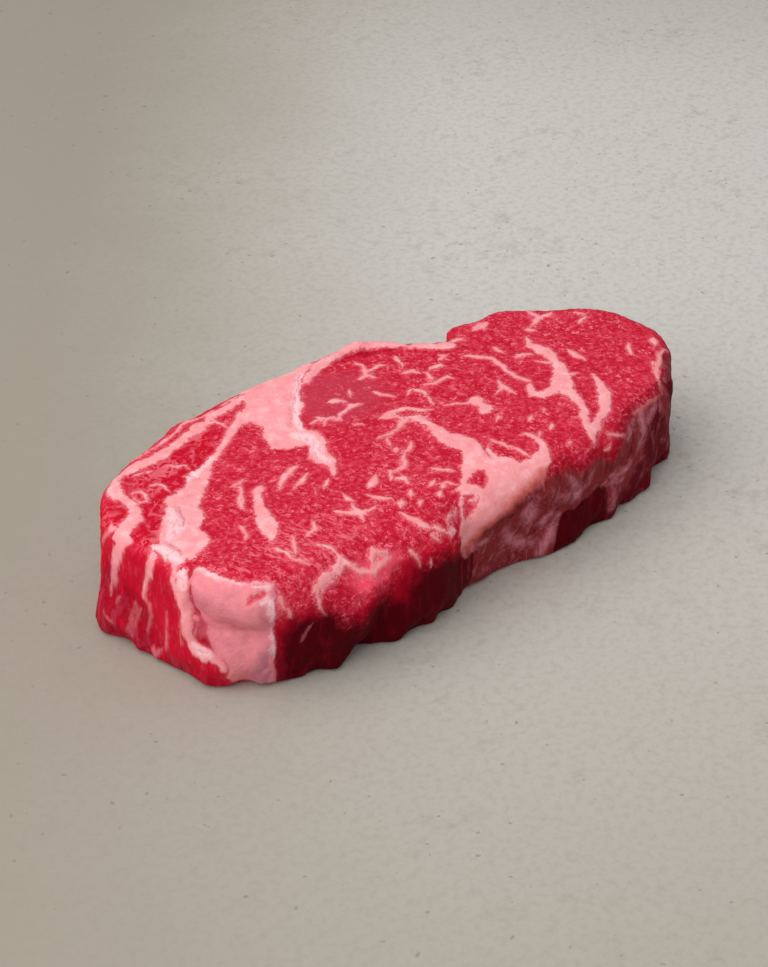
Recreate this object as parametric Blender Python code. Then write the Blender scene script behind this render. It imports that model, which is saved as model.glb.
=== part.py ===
"""A raw, boneless entrecote steak, modelled as one closed solid.

The steak lies on its lower cut face. X runs along its length, Y across it and Z up, and the
origin is the middle of the bounding box at the board it lies on. The numbers below are
millimetres; the mesh is in metres.
"""

import math

import bmesh
import bpy
from mathutils import Vector, noise

MM = 0.001

# Driving dimensions
THICKNESS = 33.0        # between the two cut faces
FOOT_RADIUS = 2.0       # rounding where the wall meets the board
STATIONS = 160          # points round the outline
GRID_START = 16         # point where the grid that closes each cut face has its near corner
GRID_COLUMNS = 54       # columns of that grid; its rows take up the rest of the points
FOOT_RINGS = 2          # rings round the foot's rounding, above the first
WALL_RINGS = 9          # rings up the wall, between its two roundings
SHOULDER_RINGS = 6      # rings over the shoulder
CURVE_STEPS = 24        # steps between two stations while the outline is being evened out
NORMAL_REACH = 4        # points either way that set the outward direction at a point
EVEN_PASSES = 120       # smoothing passes that even out the grid on a cut face
FACE_SWELL = 0.7        # slow rise and fall of the upper cut face
SWELL_WAVE = 40.0       # distance over which it rises and falls
RAGGED = 0.8            # uneven knife work along the wall
RAGGED_WAVE = 11.0      # distance between its bumps
RAGGED_SQUASH = 0.5     # those bumps are drawn out up the wall by this much
CREASE_SHARPNESS = 2.0  # exponent of the fall-off beside a crease or ridge

LEAN_COLOUR = (0.52, 0.035, 0.07, 1)
LEAN_ROUGHNESS = 0.4

# The outline of the upper cut face, counter-clockwise from the blunt end that holds the
# lean strips. Each station is (x, y, lean, shoulder): lean is how far the foot of the wall
# stands inside the outline, and shoulder is the radius that rounds the upper edge there.
OUTLINE = [
    # blunt end with the lean strips
    (-83.2, 14.8, -2.4, 4.5),
    (-83.4, 6.5, -0.4, 5.0),
    (-82.9, -2.0, -0.2, 5.0),
    (-81.6, -10.0, -2.0, 5.5),
    # round fat lobe at the near corner
    (-79.6, -17.0, -2.2, 6.0),
    (-75.8, -23.0, 0.2, 7.0),
    (-70.5, -28.5, 1.6, 8.0),
    (-63.0, -33.5, 2.2, 9.0),
    # long lean side
    (-54.0, -37.0, 2.6, 12.0),
    (-45.0, -38.5, 3.0, 13.5),
    (-38.0, -39.5, 2.2, 13.5),
    (-30.0, -41.0, 1.4, 12.5),
    (-21.0, -41.5, 1.6, 11.0),
    (-14.0, -39.8, 0.9, 9.5),
    # outer fat, which meets the lean in a shallow cleft and rolls over the edge
    (-7.0, -38.6, 2.2, 9.0),
    (2.0, -39.0, 5.0, 9.5),
    (12.0, -39.8, 4.2, 9.5),
    (21.0, -41.0, 2.0, 9.0),
    (33.0, -41.0, 1.6, 9.0),
    (45.0, -40.2, 1.0, 9.0),
    (56.0, -38.2, 1.6, 9.0),
    (66.0, -35.7, 1.4, 8.5),
    (75.6, -31.0, -0.2, 7.5),
    # round end of the eye
    (82.2, -24.8, 0.2, 6.5),
    (86.5, -17.0, -1.1, 5.0),
    (86.8, -8.0, 0.0, 4.0),
    (85.7, 0.7, 0.5, 3.5),
    (80.7, 8.5, 1.0, 3.5),
    (74.1, 12.9, 2.0, 3.5),
    (68.6, 18.4, 2.0, 3.5),
    (61.8, 24.4, 2.5, 3.5),
    (54.2, 24.6, 2.5, 3.5),
    (44.9, 26.2, 1.5, 2.5),
    # notch, and the thin rim of fat that curls past it
    (41.3, 21.8, 1.0, 2.0),
    (37.8, 20.8, 0.5, 2.0),
    (33.5, 23.6, 0.5, 2.0),
    (29.8, 27.6, 0.5, 2.0),
    (26.2, 32.8, 1.0, 2.0),
    (19.6, 36.0, 2.0, 2.5),
    (12.0, 37.1, 3.0, 3.0),
    # straight far side
    (2.0, 38.4, 3.0, 3.5),
    (-10.0, 40.6, 3.0, 4.0),
    (-24.0, 41.4, 3.0, 4.0),
    (-35.0, 40.2, 3.0, 4.0),
    (-42.0, 41.0, 3.0, 4.0),
    (-49.5, 38.3, 2.5, 4.0),
    (-63.0, 35.2, 1.5, 4.0),
    (-72.4, 31.0, 0.0, 4.0),
    (-79.4, 23.0, -1.4, 3.5),
]

# Relief that stands on the skin of the lofted block. Each entry is (start, end, reach,
# height): the skin moves by height along its own normal beside the line from start to end,
# and half of that is left one reach away. Negative heights are creases.
RELIEF = {
    "lobe_upper": ((-78.0, -19.0, 26.0), (-72.0, -26.0, 26.0), 6.5, 2.4),
    "lobe_lower": ((-75.5, -23.0, 9.0), (-70.0, -27.5, 8.0), 6.0, 1.8),
    "lobe_waist": ((-80.0, -17.5, 22.0), (-72.0, -26.0, 17.0), 2.6, -1.8),
    "lobe_crease": ((-82.0, -11.0, 34.0), (-81.5, -15.5, 24.0), 2.2, -2.2),
    "sinew_beside_lobe": ((-83.0, -9.0, 31.0), (-82.0, -15.0, 9.0), 2.4, 1.2),
    "end_strip_bulge": ((-84.5, 16.0, 5.0), (-84.5, 8.0, 5.0), 6.0, 1.6),
    "near_side_belly": ((-60.0, -35.5, 15.0), (-47.0, -37.0, 14.0), 7.0, 1.4),
    "fold_in_belly": ((-34.0, -40.0, 22.0), (-41.5, -34.5, 0.0), 3.4, -3.2),
    "cleft_at_fat": ((-11.0, -39.0, 32.0), (-9.5, -37.0, 3.0), 3.0, -2.4),
    "outer_fat_roll": ((-2.0, -38.5, 26.0), (17.0, -40.0, 26.0), 6.0, 1.0),
    "dip_below_fat": ((20.0, -39.0, 12.0), (36.0, -39.5, 10.0), 6.0, -1.4),
    "end_groove": ((79.0, -28.0, 30.0), (77.0, -31.0, 4.0), 3.0, -1.2),
    "rim_of_fat_far": ((2.0, 37.5, 33.0), (18.0, 34.8, 33.0), 2.6, 1.2),
    "rim_of_fat_end": ((18.0, 34.8, 33.0), (25.5, 29.5, 33.0), 2.6, 1.0),
    "gutter_in_rim": ((3.0, 32.5, 33.0), (19.0, 29.5, 33.0), 2.6, -0.8),
    "loose_strip": ((30.0, 25.5, 33.0), (37.0, 19.8, 33.0), 1.8, 1.0),
    "seam_dip": ((-78.0, -6.0, 33.0), (-44.0, 21.0, 33.0), 4.0, -0.6),
    "cap_fat_dip": ((-26.0, 25.0, 33.0), (-22.0, 3.0, 33.0), 5.0, -0.5),
}


def catmull_rom(p0, p1, p2, p3, t):
    """The value at t on the smooth curve from p1 to p2."""
    return 0.5 * (
        2 * p1 + (p2 - p0) * t + (2 * p0 - 5 * p1 + 4 * p2 - p3) * t * t
        + (3 * p1 - p0 - 3 * p2 + p3) * t * t * t
    )


def smooth_loop(rows, count):
    """Rows of numbers joined by a closed smooth curve, resampled at even steps along x, y."""
    dense = []
    for i in range(len(rows)):
        around = [rows[(i + k - 1) % len(rows)] for k in range(4)]
        for step in range(CURVE_STEPS):
            dense.append([catmull_rom(*column, step / CURVE_STEPS) for column in zip(*around)])
    lengths = [0.0]
    for a, b in zip(dense, dense[1:] + dense[:1]):
        lengths.append(lengths[-1] + math.dist(a[:2], b[:2]))
    even = []
    i = 0
    for k in range(count):
        target = lengths[-1] * k / count
        while lengths[i + 1] < target:
            i += 1
        share = (target - lengths[i]) / (lengths[i + 1] - lengths[i])
        a, b = dense[i], dense[(i + 1) % len(dense)]
        even.append([u + (v - u) * share for u, v in zip(a, b)])
    return even


def outward_normals(loop):
    """The horizontal direction out of the outline at each station."""
    normals = []
    for i in range(len(loop)):
        before = loop[i - NORMAL_REACH]
        after = loop[(i + NORMAL_REACH) % len(loop)]
        along = Vector((after[0] - before[0], after[1] - before[1], 0)).normalized()
        normals.append(Vector((along.y, -along.x, 0)))
    return normals


def wall_profile(lean, shoulder):
    """(outward shift, height, steepness) from the foot's inner edge to the upper face."""
    profile = []
    for k in range(FOOT_RINGS + 1):
        angle = math.radians(90 * k / FOOT_RINGS)
        inset = FOOT_RADIUS * (1 - math.sin(angle))
        profile.append((-lean - inset, FOOT_RADIUS * (1 - math.cos(angle)), 1.0))
    rise = THICKNESS - shoulder - FOOT_RADIUS
    for k in range(1, WALL_RINGS + 1):
        share = k / (WALL_RINGS + 1)
        profile.append((-lean * (1 - share), FOOT_RADIUS + rise * share, 1.0))
    for k in range(SHOULDER_RINGS + 1):
        angle = math.radians(90 * k / SHOULDER_RINGS)
        inset = shoulder * (1 - math.cos(angle))
        profile.append((-inset, THICKNESS - shoulder * (1 - math.sin(angle)), math.cos(angle)))
    return profile


def relief_at(point):
    """How far the creases and ridges move the skin along its normal at this point."""
    moved = 0.0
    for start, end, reach, height in RELIEF.values():
        a, b = Vector(start), Vector(end)
        along = b - a
        share = max(0.0, min(1.0, (point - a).dot(along) / along.length_squared))
        away = (point - (a + along * share)).length / reach
        moved += height * 0.5 ** (away ** CREASE_SHARPNESS)
    return moved


def raggedness(point):
    """How far the knife left the wall in or out at this point."""
    squashed = Vector((point.x, point.y, point.z * RAGGED_SQUASH))
    return RAGGED * noise.noise(squashed / RAGGED_WAVE)


def swell(point):
    """How far the upper face rises or falls at this point."""
    return FACE_SWELL * noise.noise(point / SWELL_WAVE)


def skin_point(point, out, steepness):
    """A point of the smooth block, moved to where the finished skin is."""
    relief = relief_at(point)
    level = math.sqrt(1 - steepness * steepness)
    outward = out * steepness * (relief + raggedness(point))
    return point + outward + Vector((0, 0, level * (relief + swell(point))))


def loft(mesh):
    """The wall as rings of vertices bridged from the foot to the upper face."""
    loop = smooth_loop(OUTLINE, STATIONS)
    normals = outward_normals(loop)
    profiles = [wall_profile(lean, shoulder) for _, _, lean, shoulder in loop]
    rings = []
    for level in range(len(profiles[0])):
        ring = []
        for (x, y, _, _), normal, profile in zip(loop, normals, profiles):
            shift, height, steepness = profile[level]
            point = Vector((x, y, height)) + normal * shift
            ring.append(mesh.verts.new(skin_point(point, normal, steepness)))
        rings.append(ring)
    for lower, upper in zip(rings, rings[1:]):
        for i in range(STATIONS):
            j = (i + 1) % STATIONS
            mesh.faces.new((lower[i], lower[j], upper[j], upper[i]))
    return rings[0], rings[-1]


def close_cut_face(mesh, ring, height):
    """Closes a ring of the wall with a grid of quads that follows the ring's four sides."""
    across = STATIONS // 2 - GRID_COLUMNS
    turned = ring[GRID_START:] + ring[:GRID_START]
    corners = [0, GRID_COLUMNS, GRID_COLUMNS + across, 2 * GRID_COLUMNS + across, STATIONS]
    near, right, far, left = (
        [turned[i % STATIONS] for i in range(a, b + 1)] for a, b in zip(corners, corners[1:]))
    far.reverse()
    left.reverse()
    grid = [list(left)]
    inner = []
    for column in range(1, GRID_COLUMNS):
        u = column / GRID_COLUMNS
        line = [near[column]]
        for row in range(1, across):
            v = row / across
            between_ends = left[row].co.lerp(right[row].co, u)
            between_sides = near[column].co.lerp(far[column].co, v)
            flat = near[0].co.lerp(near[-1].co, u).lerp(far[0].co.lerp(far[-1].co, u), v)
            line.append(mesh.verts.new(between_ends + between_sides - flat))
        inner.extend(line[1:])
        line.append(far[column])
        grid.append(line)
    grid.append(list(right))
    for line, following in zip(grid, grid[1:]):
        for k in range(across):
            mesh.faces.new((line[k], following[k], following[k + 1], line[k + 1]))
    for _ in range(EVEN_PASSES):
        bmesh.ops.smooth_vert(mesh, verts=inner, factor=0.5, use_axis_x=True, use_axis_y=True)
    for vertex in inner:
        vertex.co.z = height
        if height > 0:
            vertex.co = skin_point(vertex.co, Vector(), 0.0)


def centre_and_scale(obj):
    """Puts the bounding box's bottom centre at the origin and turns millimetres into metres."""
    low = [min(v.co[k] for v in obj.data.vertices) for k in range(3)]
    high = [max(v.co[k] for v in obj.data.vertices) for k in range(3)]
    centre = Vector(((low[0] + high[0]) / 2, (low[1] + high[1]) / 2, low[2]))
    for vertex in obj.data.vertices:
        vertex.co = (vertex.co - centre) * MM


def raw_beef():
    """Cool crimson lean, slightly moist."""
    material = bpy.data.materials.new("raw_beef")
    material.use_nodes = True
    shader = material.node_tree.nodes["Principled BSDF"]
    shader.inputs["Base Color"].default_value = LEAN_COLOUR
    shader.inputs["Roughness"].default_value = LEAN_ROUGHNESS
    shader.inputs["Metallic"].default_value = 0.0
    return material


def steak():
    """The whole steak: a lofted wall, two cut faces, and the relief of fat and muscle."""
    mesh = bmesh.new()
    foot, rim = loft(mesh)
    close_cut_face(mesh, foot, 0.0)
    close_cut_face(mesh, rim, THICKNESS)
    bmesh.ops.triangulate(mesh, faces=mesh.faces, quad_method="SHORT_EDGE")
    bmesh.ops.recalc_face_normals(mesh, faces=mesh.faces)
    data = bpy.data.meshes.new("steak")
    mesh.to_mesh(data)
    mesh.free()
    obj = bpy.data.objects.new("steak", data)
    bpy.context.scene.collection.objects.link(obj)
    centre_and_scale(obj)
    data.materials.append(raw_beef())
    data.shade_smooth()
    return obj


def main():
    for obj in list(bpy.data.objects):
        bpy.data.objects.remove(obj)
    steak()


main()
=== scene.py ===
"""A raw entrecote steak: the visible meat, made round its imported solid.

Points are in millimetres in the frame's axes: X along the steak, Y across it, Z up. The
blunt end is at -X, the side nearest the camera at -Y.
"""
import math

import bpy
import numpy as np
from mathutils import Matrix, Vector, noise


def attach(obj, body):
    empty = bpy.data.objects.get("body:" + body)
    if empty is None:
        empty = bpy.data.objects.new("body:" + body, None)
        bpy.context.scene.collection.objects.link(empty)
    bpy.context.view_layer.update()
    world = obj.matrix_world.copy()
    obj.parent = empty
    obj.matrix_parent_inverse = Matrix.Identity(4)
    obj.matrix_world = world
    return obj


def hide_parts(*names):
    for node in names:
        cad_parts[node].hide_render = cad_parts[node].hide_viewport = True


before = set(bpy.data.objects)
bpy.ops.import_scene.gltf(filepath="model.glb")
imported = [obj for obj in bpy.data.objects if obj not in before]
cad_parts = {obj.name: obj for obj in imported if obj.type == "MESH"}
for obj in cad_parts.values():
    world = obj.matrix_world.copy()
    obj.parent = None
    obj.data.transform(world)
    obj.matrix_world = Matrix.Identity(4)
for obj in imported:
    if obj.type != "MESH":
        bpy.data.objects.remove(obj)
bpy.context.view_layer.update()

MM = 0.001

# The meat's mesh
VOXEL = 0.68            # size of its faces
WELD = 0.02             # corners nearer than this become one
SMOOTHING = 4           # passes that take the voxel steps out
FAT_STANDS = 0.22       # fat stands proud of the lean, which shrinks back from the knife
CREASE_DEPTH = 0.4      # depth of a crease between two muscles
GRAIN_RISE = 0.16       # unevenness of the cut grain
GRAIN_WAVE = 1.3        # and the distance between its bumps
RAGGED_RISE = 0.55      # unevenness of the wall
RAGGED_WAVE = 5.5       # and the distance between its bumps
FOOT_RISE = 0.45        # extra unevenness at the foot of the wall
FOOT_HEIGHT = 9.0       # below this height
FLAT_BELOW = 0.6        # the lower cut face stays flat below this height
SEAM_DRIFT = 5.6        # how far a seam drifts on its way down through the meat
SEAM_WAVE = 13.0        # and the distance over which it does so
SWAY = 0.5              # how far a line of fat strays from its marks
SWAY_WAVE = 2.4         # and the distance over which it does so
DARK_HEIGHT = 15        # height up to which a wall without marks is painted dark: painted shade on drier lean
DARK_UNEVEN = 5         # and how uneven that height is
FAR = 50.0              # a distance that counts as nowhere near
NEAR = 9                # a distance past which the material sees no difference
TINY = 1e-9             # stands in for nought in a division
SEED_STEPS = (17.3, -9.1, 5.7)  # how far apart two seeds are in the noise

# The marks. A stroke is a line of points, each X, Y and the half-width there. An area is a
# closed outline of points X, Y. The first tables lie on the upper face: broad strokes of fat
BROAD_FAT = {
    "outer_band": [(-83.4, 10.8, 1.9), (-80.6, 11.2, 2), (-77.4, 12.6, 2.2), (-74.8, 15.6, 1.5),
        (-74.0, 19.6, 1.3), (-74.3, 23.4, 1.5), (-73.2, 26.8, 1.6)],
    "main_seam": [(-75.2, -0.2, 3.6), (-70.2, 4.2, 4), (-66.2, 7.6, 4), (-61.2, 10.9, 2.8),
        (-56.2, 14.6, 2.2), (-51.2, 17.5, 1.5), (-47.2, 20.1, 1.1), (-43.2, 22.0, 1),
        (-40.2, 23.3, 0.9), (-35.2, 26.1, 1), (-30.2, 28.9, 1.3), (-27.2, 30.9, 1.5)],
    "back_blob": [(-43.2, 32.9, 1), (-40.2, 33.9, 1.9), (-37.7, 34.4, 1.2)],
    "lip": [(-4.2, 31.2, 1), (-0.9, 33.2, 1.2), (3.0, 34.7, 1.4), (7.3, 35.4, 1.5), (10.9, 35.4, 1.5),
        (14.2, 35, 1.5), (18.0, 34, 1.5), (21.9, 32.6, 1.5), (24.6, 30.2, 1.4), (26.4, 28, 1.2),
        (27.2, 26.8, 0.7)],
    "loose_strip": [(27.8, 25.4, 0.7), (29.4, 24.4, 1.1), (31.2, 22.9, 1.3), (32.8, 21.2, 1.2),
        (34.3, 19.8, 1.1), (35.8, 19.0, 1.5), (37.6, 18.1, 1.5)],
    "mid_seam": [(5.8, -2.1, 1.6), (6.3, -5.2, 1.1), (5.8, -8.2, 1.7), (5.4, -12.2, 2)],
    "lens": [(-45.2, 1.9, 0.7), (-47.2, 1.4, 0.9), (-50.2, -3.1, 1), (-52.7, -7.2, 1.9),
        (-54.5, -10.7, 2.4), (-56.2, -14.2, 1.9), (-58.0, -17.6, 0.5)],
    "right_seam": [(55.8, 6.8, 0.5), (54.3, 4.3, 0.8), (53.8, 2.9, 1.3), (54.3, -1.1, 1.9),
        (54.3, -3.6, 1.7), (52.8, -7.2, 1.3), (50.8, -10.7, 2), (48.3, -13.7, 2.3), (45.3, -16.6, 3.2),
        (44.3, -19.1, 2.0), (43.8, -22.1, 1.7), (42.3, -25.6, 1.2), (41.3, -28.6, 0.9),
        (38.6, -30.9, 1.0), (36.8, -33.6, 1.2), (35.9, -36.2, 1.3), (35.5, -37.8, 0.6)],
    "seam_arm": [(43.8, -16.6, 1.8), (40.8, -16.9, 1.6), (37.8, -16.1, 1.3), (36.3, -14.7, 1.1),
        (37.8, -12.2, 1), (39.3, -10.2, 0.7)],
    "lower_strip": [(36.2, -36.4, 1), (38.3, -35.4, 1.2), (40.8, -34.1, 0.9), (43.8, -33.1, 1),
        (45.8, -32.1, 1.3), (48.3, -29.6, 1.8), (50.8, -27.1, 1.8), (52.8, -24.1, 1.2),
        (54.3, -21.1, 0.8), (55.3, -18.6, 0.4)],
}

# Thin lines, threads and flecks of fat
THIN_FAT = {
    "band_thread_a": [(-55.8, 25.5, 0.4), (-54.9, 23.7, 0.5), (-53.0, 23.1, 0.5), (-52.9, 21.5, 0.3)],
    "band_thread_b": [(-65.0, 21.5, 0.3), (-63.6, 21.0, 0.5), (-62.6, 19.3, 0.5), (-63.2, 16.8, 0.3)],
    "band_curl": [(-70.5, 22.1, 0.4), (-68.8, 21.4, 0.6), (-68.6, 19.5, 0.5), (-70.4, 16.8, 0.5),
        (-72.2, 17.6, 0.4), (-71.8, 19.9, 0.3)],
    "band_thread_d": [(-65.2, 27.9, 0.4), (-61.2, 26.9, 0.3)],
    "rim_thread": [(-60.9, 34.2, 0.3), (-54.0, 34.6, 0.5), (-45.8, 35.8, 0.4), (-42.9, 37.3, 0.6),
        (-39.7, 38.2, 0.6), (-37.7, 37.2, 0.6), (-35.0, 36.9, 0.5), (-31.6, 37.5, 0.3)],
    "band_twig": [(-36.5, 33.3, 0.6), (-34.5, 32.8, 0.6), (-33.7, 30.9, 0.5), (-34.0, 28.7, 0.3)],
    "rim_pocket": [(-85.7, 15.8, 0.5), (-83.2, 15.3, 0.6), (-82.2, 13.8, 0.5)],
    "tab_sinew": [(-78.7, -4.7, 0.9), (-80.7, -7.2, 0.9), (-82.2, -8.7, 0.9), (-81.2, -10.7, 0.7)],
    "back_streak_a": [(-28.2, 37.6, 0.4), (-20.2, 38.4, 0.6)],
    "eye_branch": [(-16.1, 15.2, 0.4), (-13.3, 14.9, 0.6), (-12.3, 13.5, 0.6), (-10.6, 13.5, 0.6),
        (-10.4, 11.7, 0.5), (-8.3, 13.0, 0.7), (-5.5, 13.7, 0.6), (-3.1, 13.9, 1), (-1.4, 13.3, 0.6)],
    "eye_branch_b": [(-14.2, 12.3, 0.3), (-12.7, 13.8, 0.5), (-13.7, 16.1, 0.4)],
    "eye_spot_a": [(-5.7, 19.2, 0.8), (-4.2, 18.7, 0.9), (-3.0, 16.9, 0.4)],
    "eye_spot_b": [(0.4, 18.5, 0.5), (1.3, 19.4, 0.6)],
    "eye_spot_c": [(-8.0, 6.5, 0.5), (-7.2, 5.8, 0.4)],
    "upper_fork_a": [(12.8, 29.8, 0.5), (13.0, 27.5, 0.7), (11.2, 24.7, 0.6), (12.7, 23.7, 0.6),
        (15.6, 24.3, 0.7), (17.0, 23.3, 0.5)],
    "upper_fork_b": [(7.7, 22.7, 0.5), (9.8, 22.5, 1), (10.8, 21.1, 0.6)],
    "upper_fork_c": [(9.8, 22.6, 0.7), (11.2, 24.6, 0.7)],
    "upper_dot_a": [(22.2, 23.6, 0.9), (21.8, 22.2, 0.5)],
    "upper_dot_a2": [(21.2, 21.0, 0.4), (20.8, 20.2, 0.4)],
    "upper_dot_b": [(18.3, 16.8, 0.5), (20.6, 16.2, 1.1), (21.4, 14.6, 0.4)],
    "upper_dot_c": [(25.2, 13.7, 0.6), (27.6, 13.2, 0.9), (28.8, 12.0, 0.5)],
    "upper_dot_d": [(6.3, 14.7, 0.5), (6.8, 12.7, 0.7), (8.2, 11.0, 0.5)],
    "upper_dot_e": [(23.0, 12.3, 0.6), (21.9, 9.9, 0.8)],
    "upper_dot_f": [(15.3, 8.2, 0.9), (15.6, 6.6, 1.1), (15.3, 5.6, 0.4)],
    "upper_dot_g": [(18.7, 8.9, 0.4), (21.1, 7.5, 0.6), (24.4, 7.5, 0.9), (26.0, 7.6, 0.7),
        (26.3, 5.8, 0.3)],
    "upper_dot_h": [(30.8, 15.2, 0.5), (32.8, 15.4, 0.6), (32.3, 16.4, 0.4)],
    "upper_dot_i": [(12.3, 8.3, 0.4), (13.8, 9.2, 0.5)],
    "right_dot_a": [(45.6, 9.2, 0.4), (45.3, 6.8, 0.5)],
    "right_dot_b": [(46.8, 1.9, 0.7), (47.6, 1.2, 0.5)],
    "right_dot_c": [(39.3, 19.4, 0.6), (41.8, 19.1, 0.7)],
    "right_dot_d": [(49.3, 19.9, 1.2), (51.3, 19.9, 1.7), (52.8, 20.2, 0.9), (50.8, 18.2, 0.5)],
    "right_y": [(66.6, 17.4, 0.6), (65.8, 14.3, 0.9), (65.8, 11.8, 0.9), (64.3, 11.2, 1),
        (61.8, 10.4, 0.5)],
    "right_y_arm": [(65.8, 11.8, 0.9), (67.8, 10.8, 0.7), (69.8, 11.0, 0.6)],
    "right_dot_e": [(59.3, 9.3, 0.8), (60.0, 8.1, 0.6)],
    "right_dot_f": [(75.2, 6.3, 0.5), (76.0, 4.6, 0.6)],
    "right_dot_g": [(72.3, 2.5, 0.5), (73.8, 2.8, 0.7), (75.3, 2.4, 0.5)],
    "right_dot_h": [(47.3, 2.0, 0.6), (48.8, 1.2, 0.9), (50.3, 0.2, 0.6)],
    "ring_top": [(-0.2, 4.5, 1.1), (2.8, 4.5, 1), (6.8, 3.9, 0.8), (8.5, 1.5, 0.8), (9.8, -0.5, 0.7),
        (10.8, -1.1, 0.3)],
    "ring_left": [(-0.2, 4.2, 1.1), (1.4, 2.9, 0.9), (2.4, 1.4, 0.7), (1.8, -0.7, 0.9)],
    "ring_foot": [(-0.7, -1.8, 0.6), (1.8, -0.8, 0.9), (3.8, 0.2, 0.8), (5.8, -0.8, 0.9),
        (5.8, -2.1, 1.5)],
    "knot": [(4.3, -2.1, 1), (5.8, -2.4, 1.8), (7.3, -2.6, 0.7)],
    "ring_spur": [(13.6, 0.6, 0.3), (14.6, 3.1, 0.5), (15.0, 4.1, 0.3)],
    "front_line": [(-18.1, -37.3, 0.3), (-15.6, -36.4, 0.4), (-13.3, -35.5, 0.4)],
    "front_knot": [(-18.3, -39.1, 0.9), (-17.0, -39.3, 1.2), (-15.9, -39.4, 0.8)],
    "front_streak": [(-22.5, -37.2, 0.4), (-21.6, -37.9, 0.7), (-20.4, -38.5, 0.5)],
    "front_wisp": [(-7.6, -35.6, 0.3), (-5.6, -36.0, 0.4)],
    "front_thread": [(14.7, -28.0, 0.4), (14.8, -30.5, 0.6), (14.9, -33.2, 0.5)],
    "front_sliver": [(13.0, -22.3, 0.4), (14.0, -26.0, 0.6), (13.7, -28.4, 0.3)],
    "lens_root": [(-52.2, 2.4, 0.5), (-53.4, 0.3, 0.8), (-54.7, -2.1, 0.4)],
    "lens_beside_a": [(-42.2, -1.6, 0.3), (-40.2, -0.2, 0.8), (-38.2, 1.4, 1.1), (-34.2, 2.9, 1),
        (-32.2, 3.1, 0.4)],
    "lens_beside_b": [(-38.7, -3.6, 0.4), (-36.2, -3.1, 0.8), (-33.2, -1.6, 0.5)],
    "lens_beside_c": [(-33.7, -9.0, 0.4), (-31.2, -7.6, 0.6)],
    "left_fleck_a": [(-60.0, -8.2, 0.5), (-60.7, -10.2, 0.6), (-62.2, -12.2, 0.3)],
    "left_fleck_b": [(-59.7, -20.1, 0.3), (-59.2, -23.1, 0.6), (-59.2, -26.1, 0.6), (-57.2, -29.1, 0.4)],
    "left_fleck_c": [(-53.7, -19.6, 0.3), (-55.7, -22.6, 0.6), (-57.2, -25.1, 0.4)],
    "left_fleck_d": [(-46.2, -19.1, 0.3), (-47.2, -21.1, 0.7), (-50.2, -21.6, 0.5)],
    "left_fleck_e": [(-50.7, -26.6, 0.4), (-48.7, -29.1, 0.6), (-49.2, -32.1, 0.4)],
    "left_fleck_f": [(-48.7, 5.8, 0.4), (-50.2, 3.9, 0.7), (-51.7, 2.4, 0.6), (-52.7, 0.3, 0.4)],
    "left_fleck_g": [(-46.2, 7.8, 0.3), (-47.7, 7.1, 0.5), (-49.7, 7.4, 0.3)],
    "near_band": [(-60.7, -35.4, 0.3), (-58.5, -33.9, 0.7), (-55.2, -33.4, 0.8), (-52.7, -33.4, 0.5),
        (-50.0, -32.9, 0.8), (-48.9, -32.0, 0.9), (-47.4, -34.2, 0.6), (-45.6, -35.8, 0.8),
        (-42.6, -37.2, 0.7), (-39.0, -36.6, 0.5), (-36.2, -36.4, 0.3)],
    "near_band_b": [(-42.6, -36.4, 0.4), (-41.4, -35.2, 0.7), (-40.4, -34.1, 0.9), (-38.6, -34.9, 0.5),
        (-36.6, -36.0, 0.3)],
    "near_band_c": [(-57.6, -34.9, 0.3), (-56.0, -34.3, 0.4), (-53.4, -34.6, 0.3)],
    "fleck_a": [(-25.0, -16.5, 0.8), (-22.7, -15.7, 1.5), (-20.8, -14.2, 0.6)],
    "fleck_b": [(-19.2, -18.1, 0.4), (-16.7, -15.3, 0.6), (-15.2, -16.1, 0.5), (-12.2, -16.0, 0.6),
        (-10.7, -14.2, 0.6), (-9.7, -12.7, 0.5), (-7.2, -11.2, 0.4)],
    "fleck_c": [(-6.5, -11.3, 0.6), (-4.2, -9.8, 0.8), (-3.4, -9.0, 0.4)],
    "fleck_d": [(-9.2, -9.7, 0.5), (-8.4, -8.8, 0.9)],
    "fleck_e": [(-7.7, -1.9, 0.4), (-4.2, -2.9, 0.7), (-1.2, -1.9, 0.6), (0.8, -0.7, 0.6),
        (2.8, 0.8, 0.5)],
    "fleck_f": [(-7.0, -3.7, 0.3), (-8.2, -6.2, 0.5)],
    "fleck_g": [(-16.4, -21.4, 0.5), (-15.6, -19.6, 0.9), (-17.2, -18.6, 0.5)],
    "star_a": [(-38.5, -19.6, 0.5), (-36.4, -22.1, 0.9), (-34.7, -23.6, 1.1), (-32.2, -24.3, 0.7),
        (-30.0, -23.8, 0.4)],
    "star_b": [(-34.0, -20.1, 0.5), (-34.6, -23.6, 1.2), (-36.2, -26.1, 0.5)],
    "star_c": [(-27.8, -19.4, 0.4), (-26.8, -21.4, 0.9), (-25.2, -23.8, 0.6)],
    "star_d": [(-32.2, -14.8, 0.3), (-32.7, -18.1, 0.6)],
    "near_dot_a": [(-24.8, -28.0, 0.7), (-24.0, -27.1, 1.1)],
    "near_slit": [(-26.9, -30.3, 0.4), (-26.2, -32.6, 0.9), (-25.2, -34.6, 0.9), (-23.7, -36.9, 0.5)],
    "near_dot_b": [(-19.4, -25.9, 0.6), (-18.8, -25.3, 0.5)],
    "near_dot_c": [(-12.7, -26.3, 0.7), (-11.5, -25.8, 0.8)],
    "near_dot_d": [(-11.4, -29.4, 0.6), (-10.8, -28.8, 0.6)],
    "near_dot_e": [(-14.6, -30.9, 0.7), (-13.6, -30.3, 0.7)],
    "near_dot_f": [(-20.6, -30.3, 0.6), (-19.8, -29.8, 0.6)],
    "near_dot_g": [(-7.7, -21.4, 0.4), (-5.2, -24.3, 0.8), (-4.4, -25.6, 0.4)],
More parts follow.
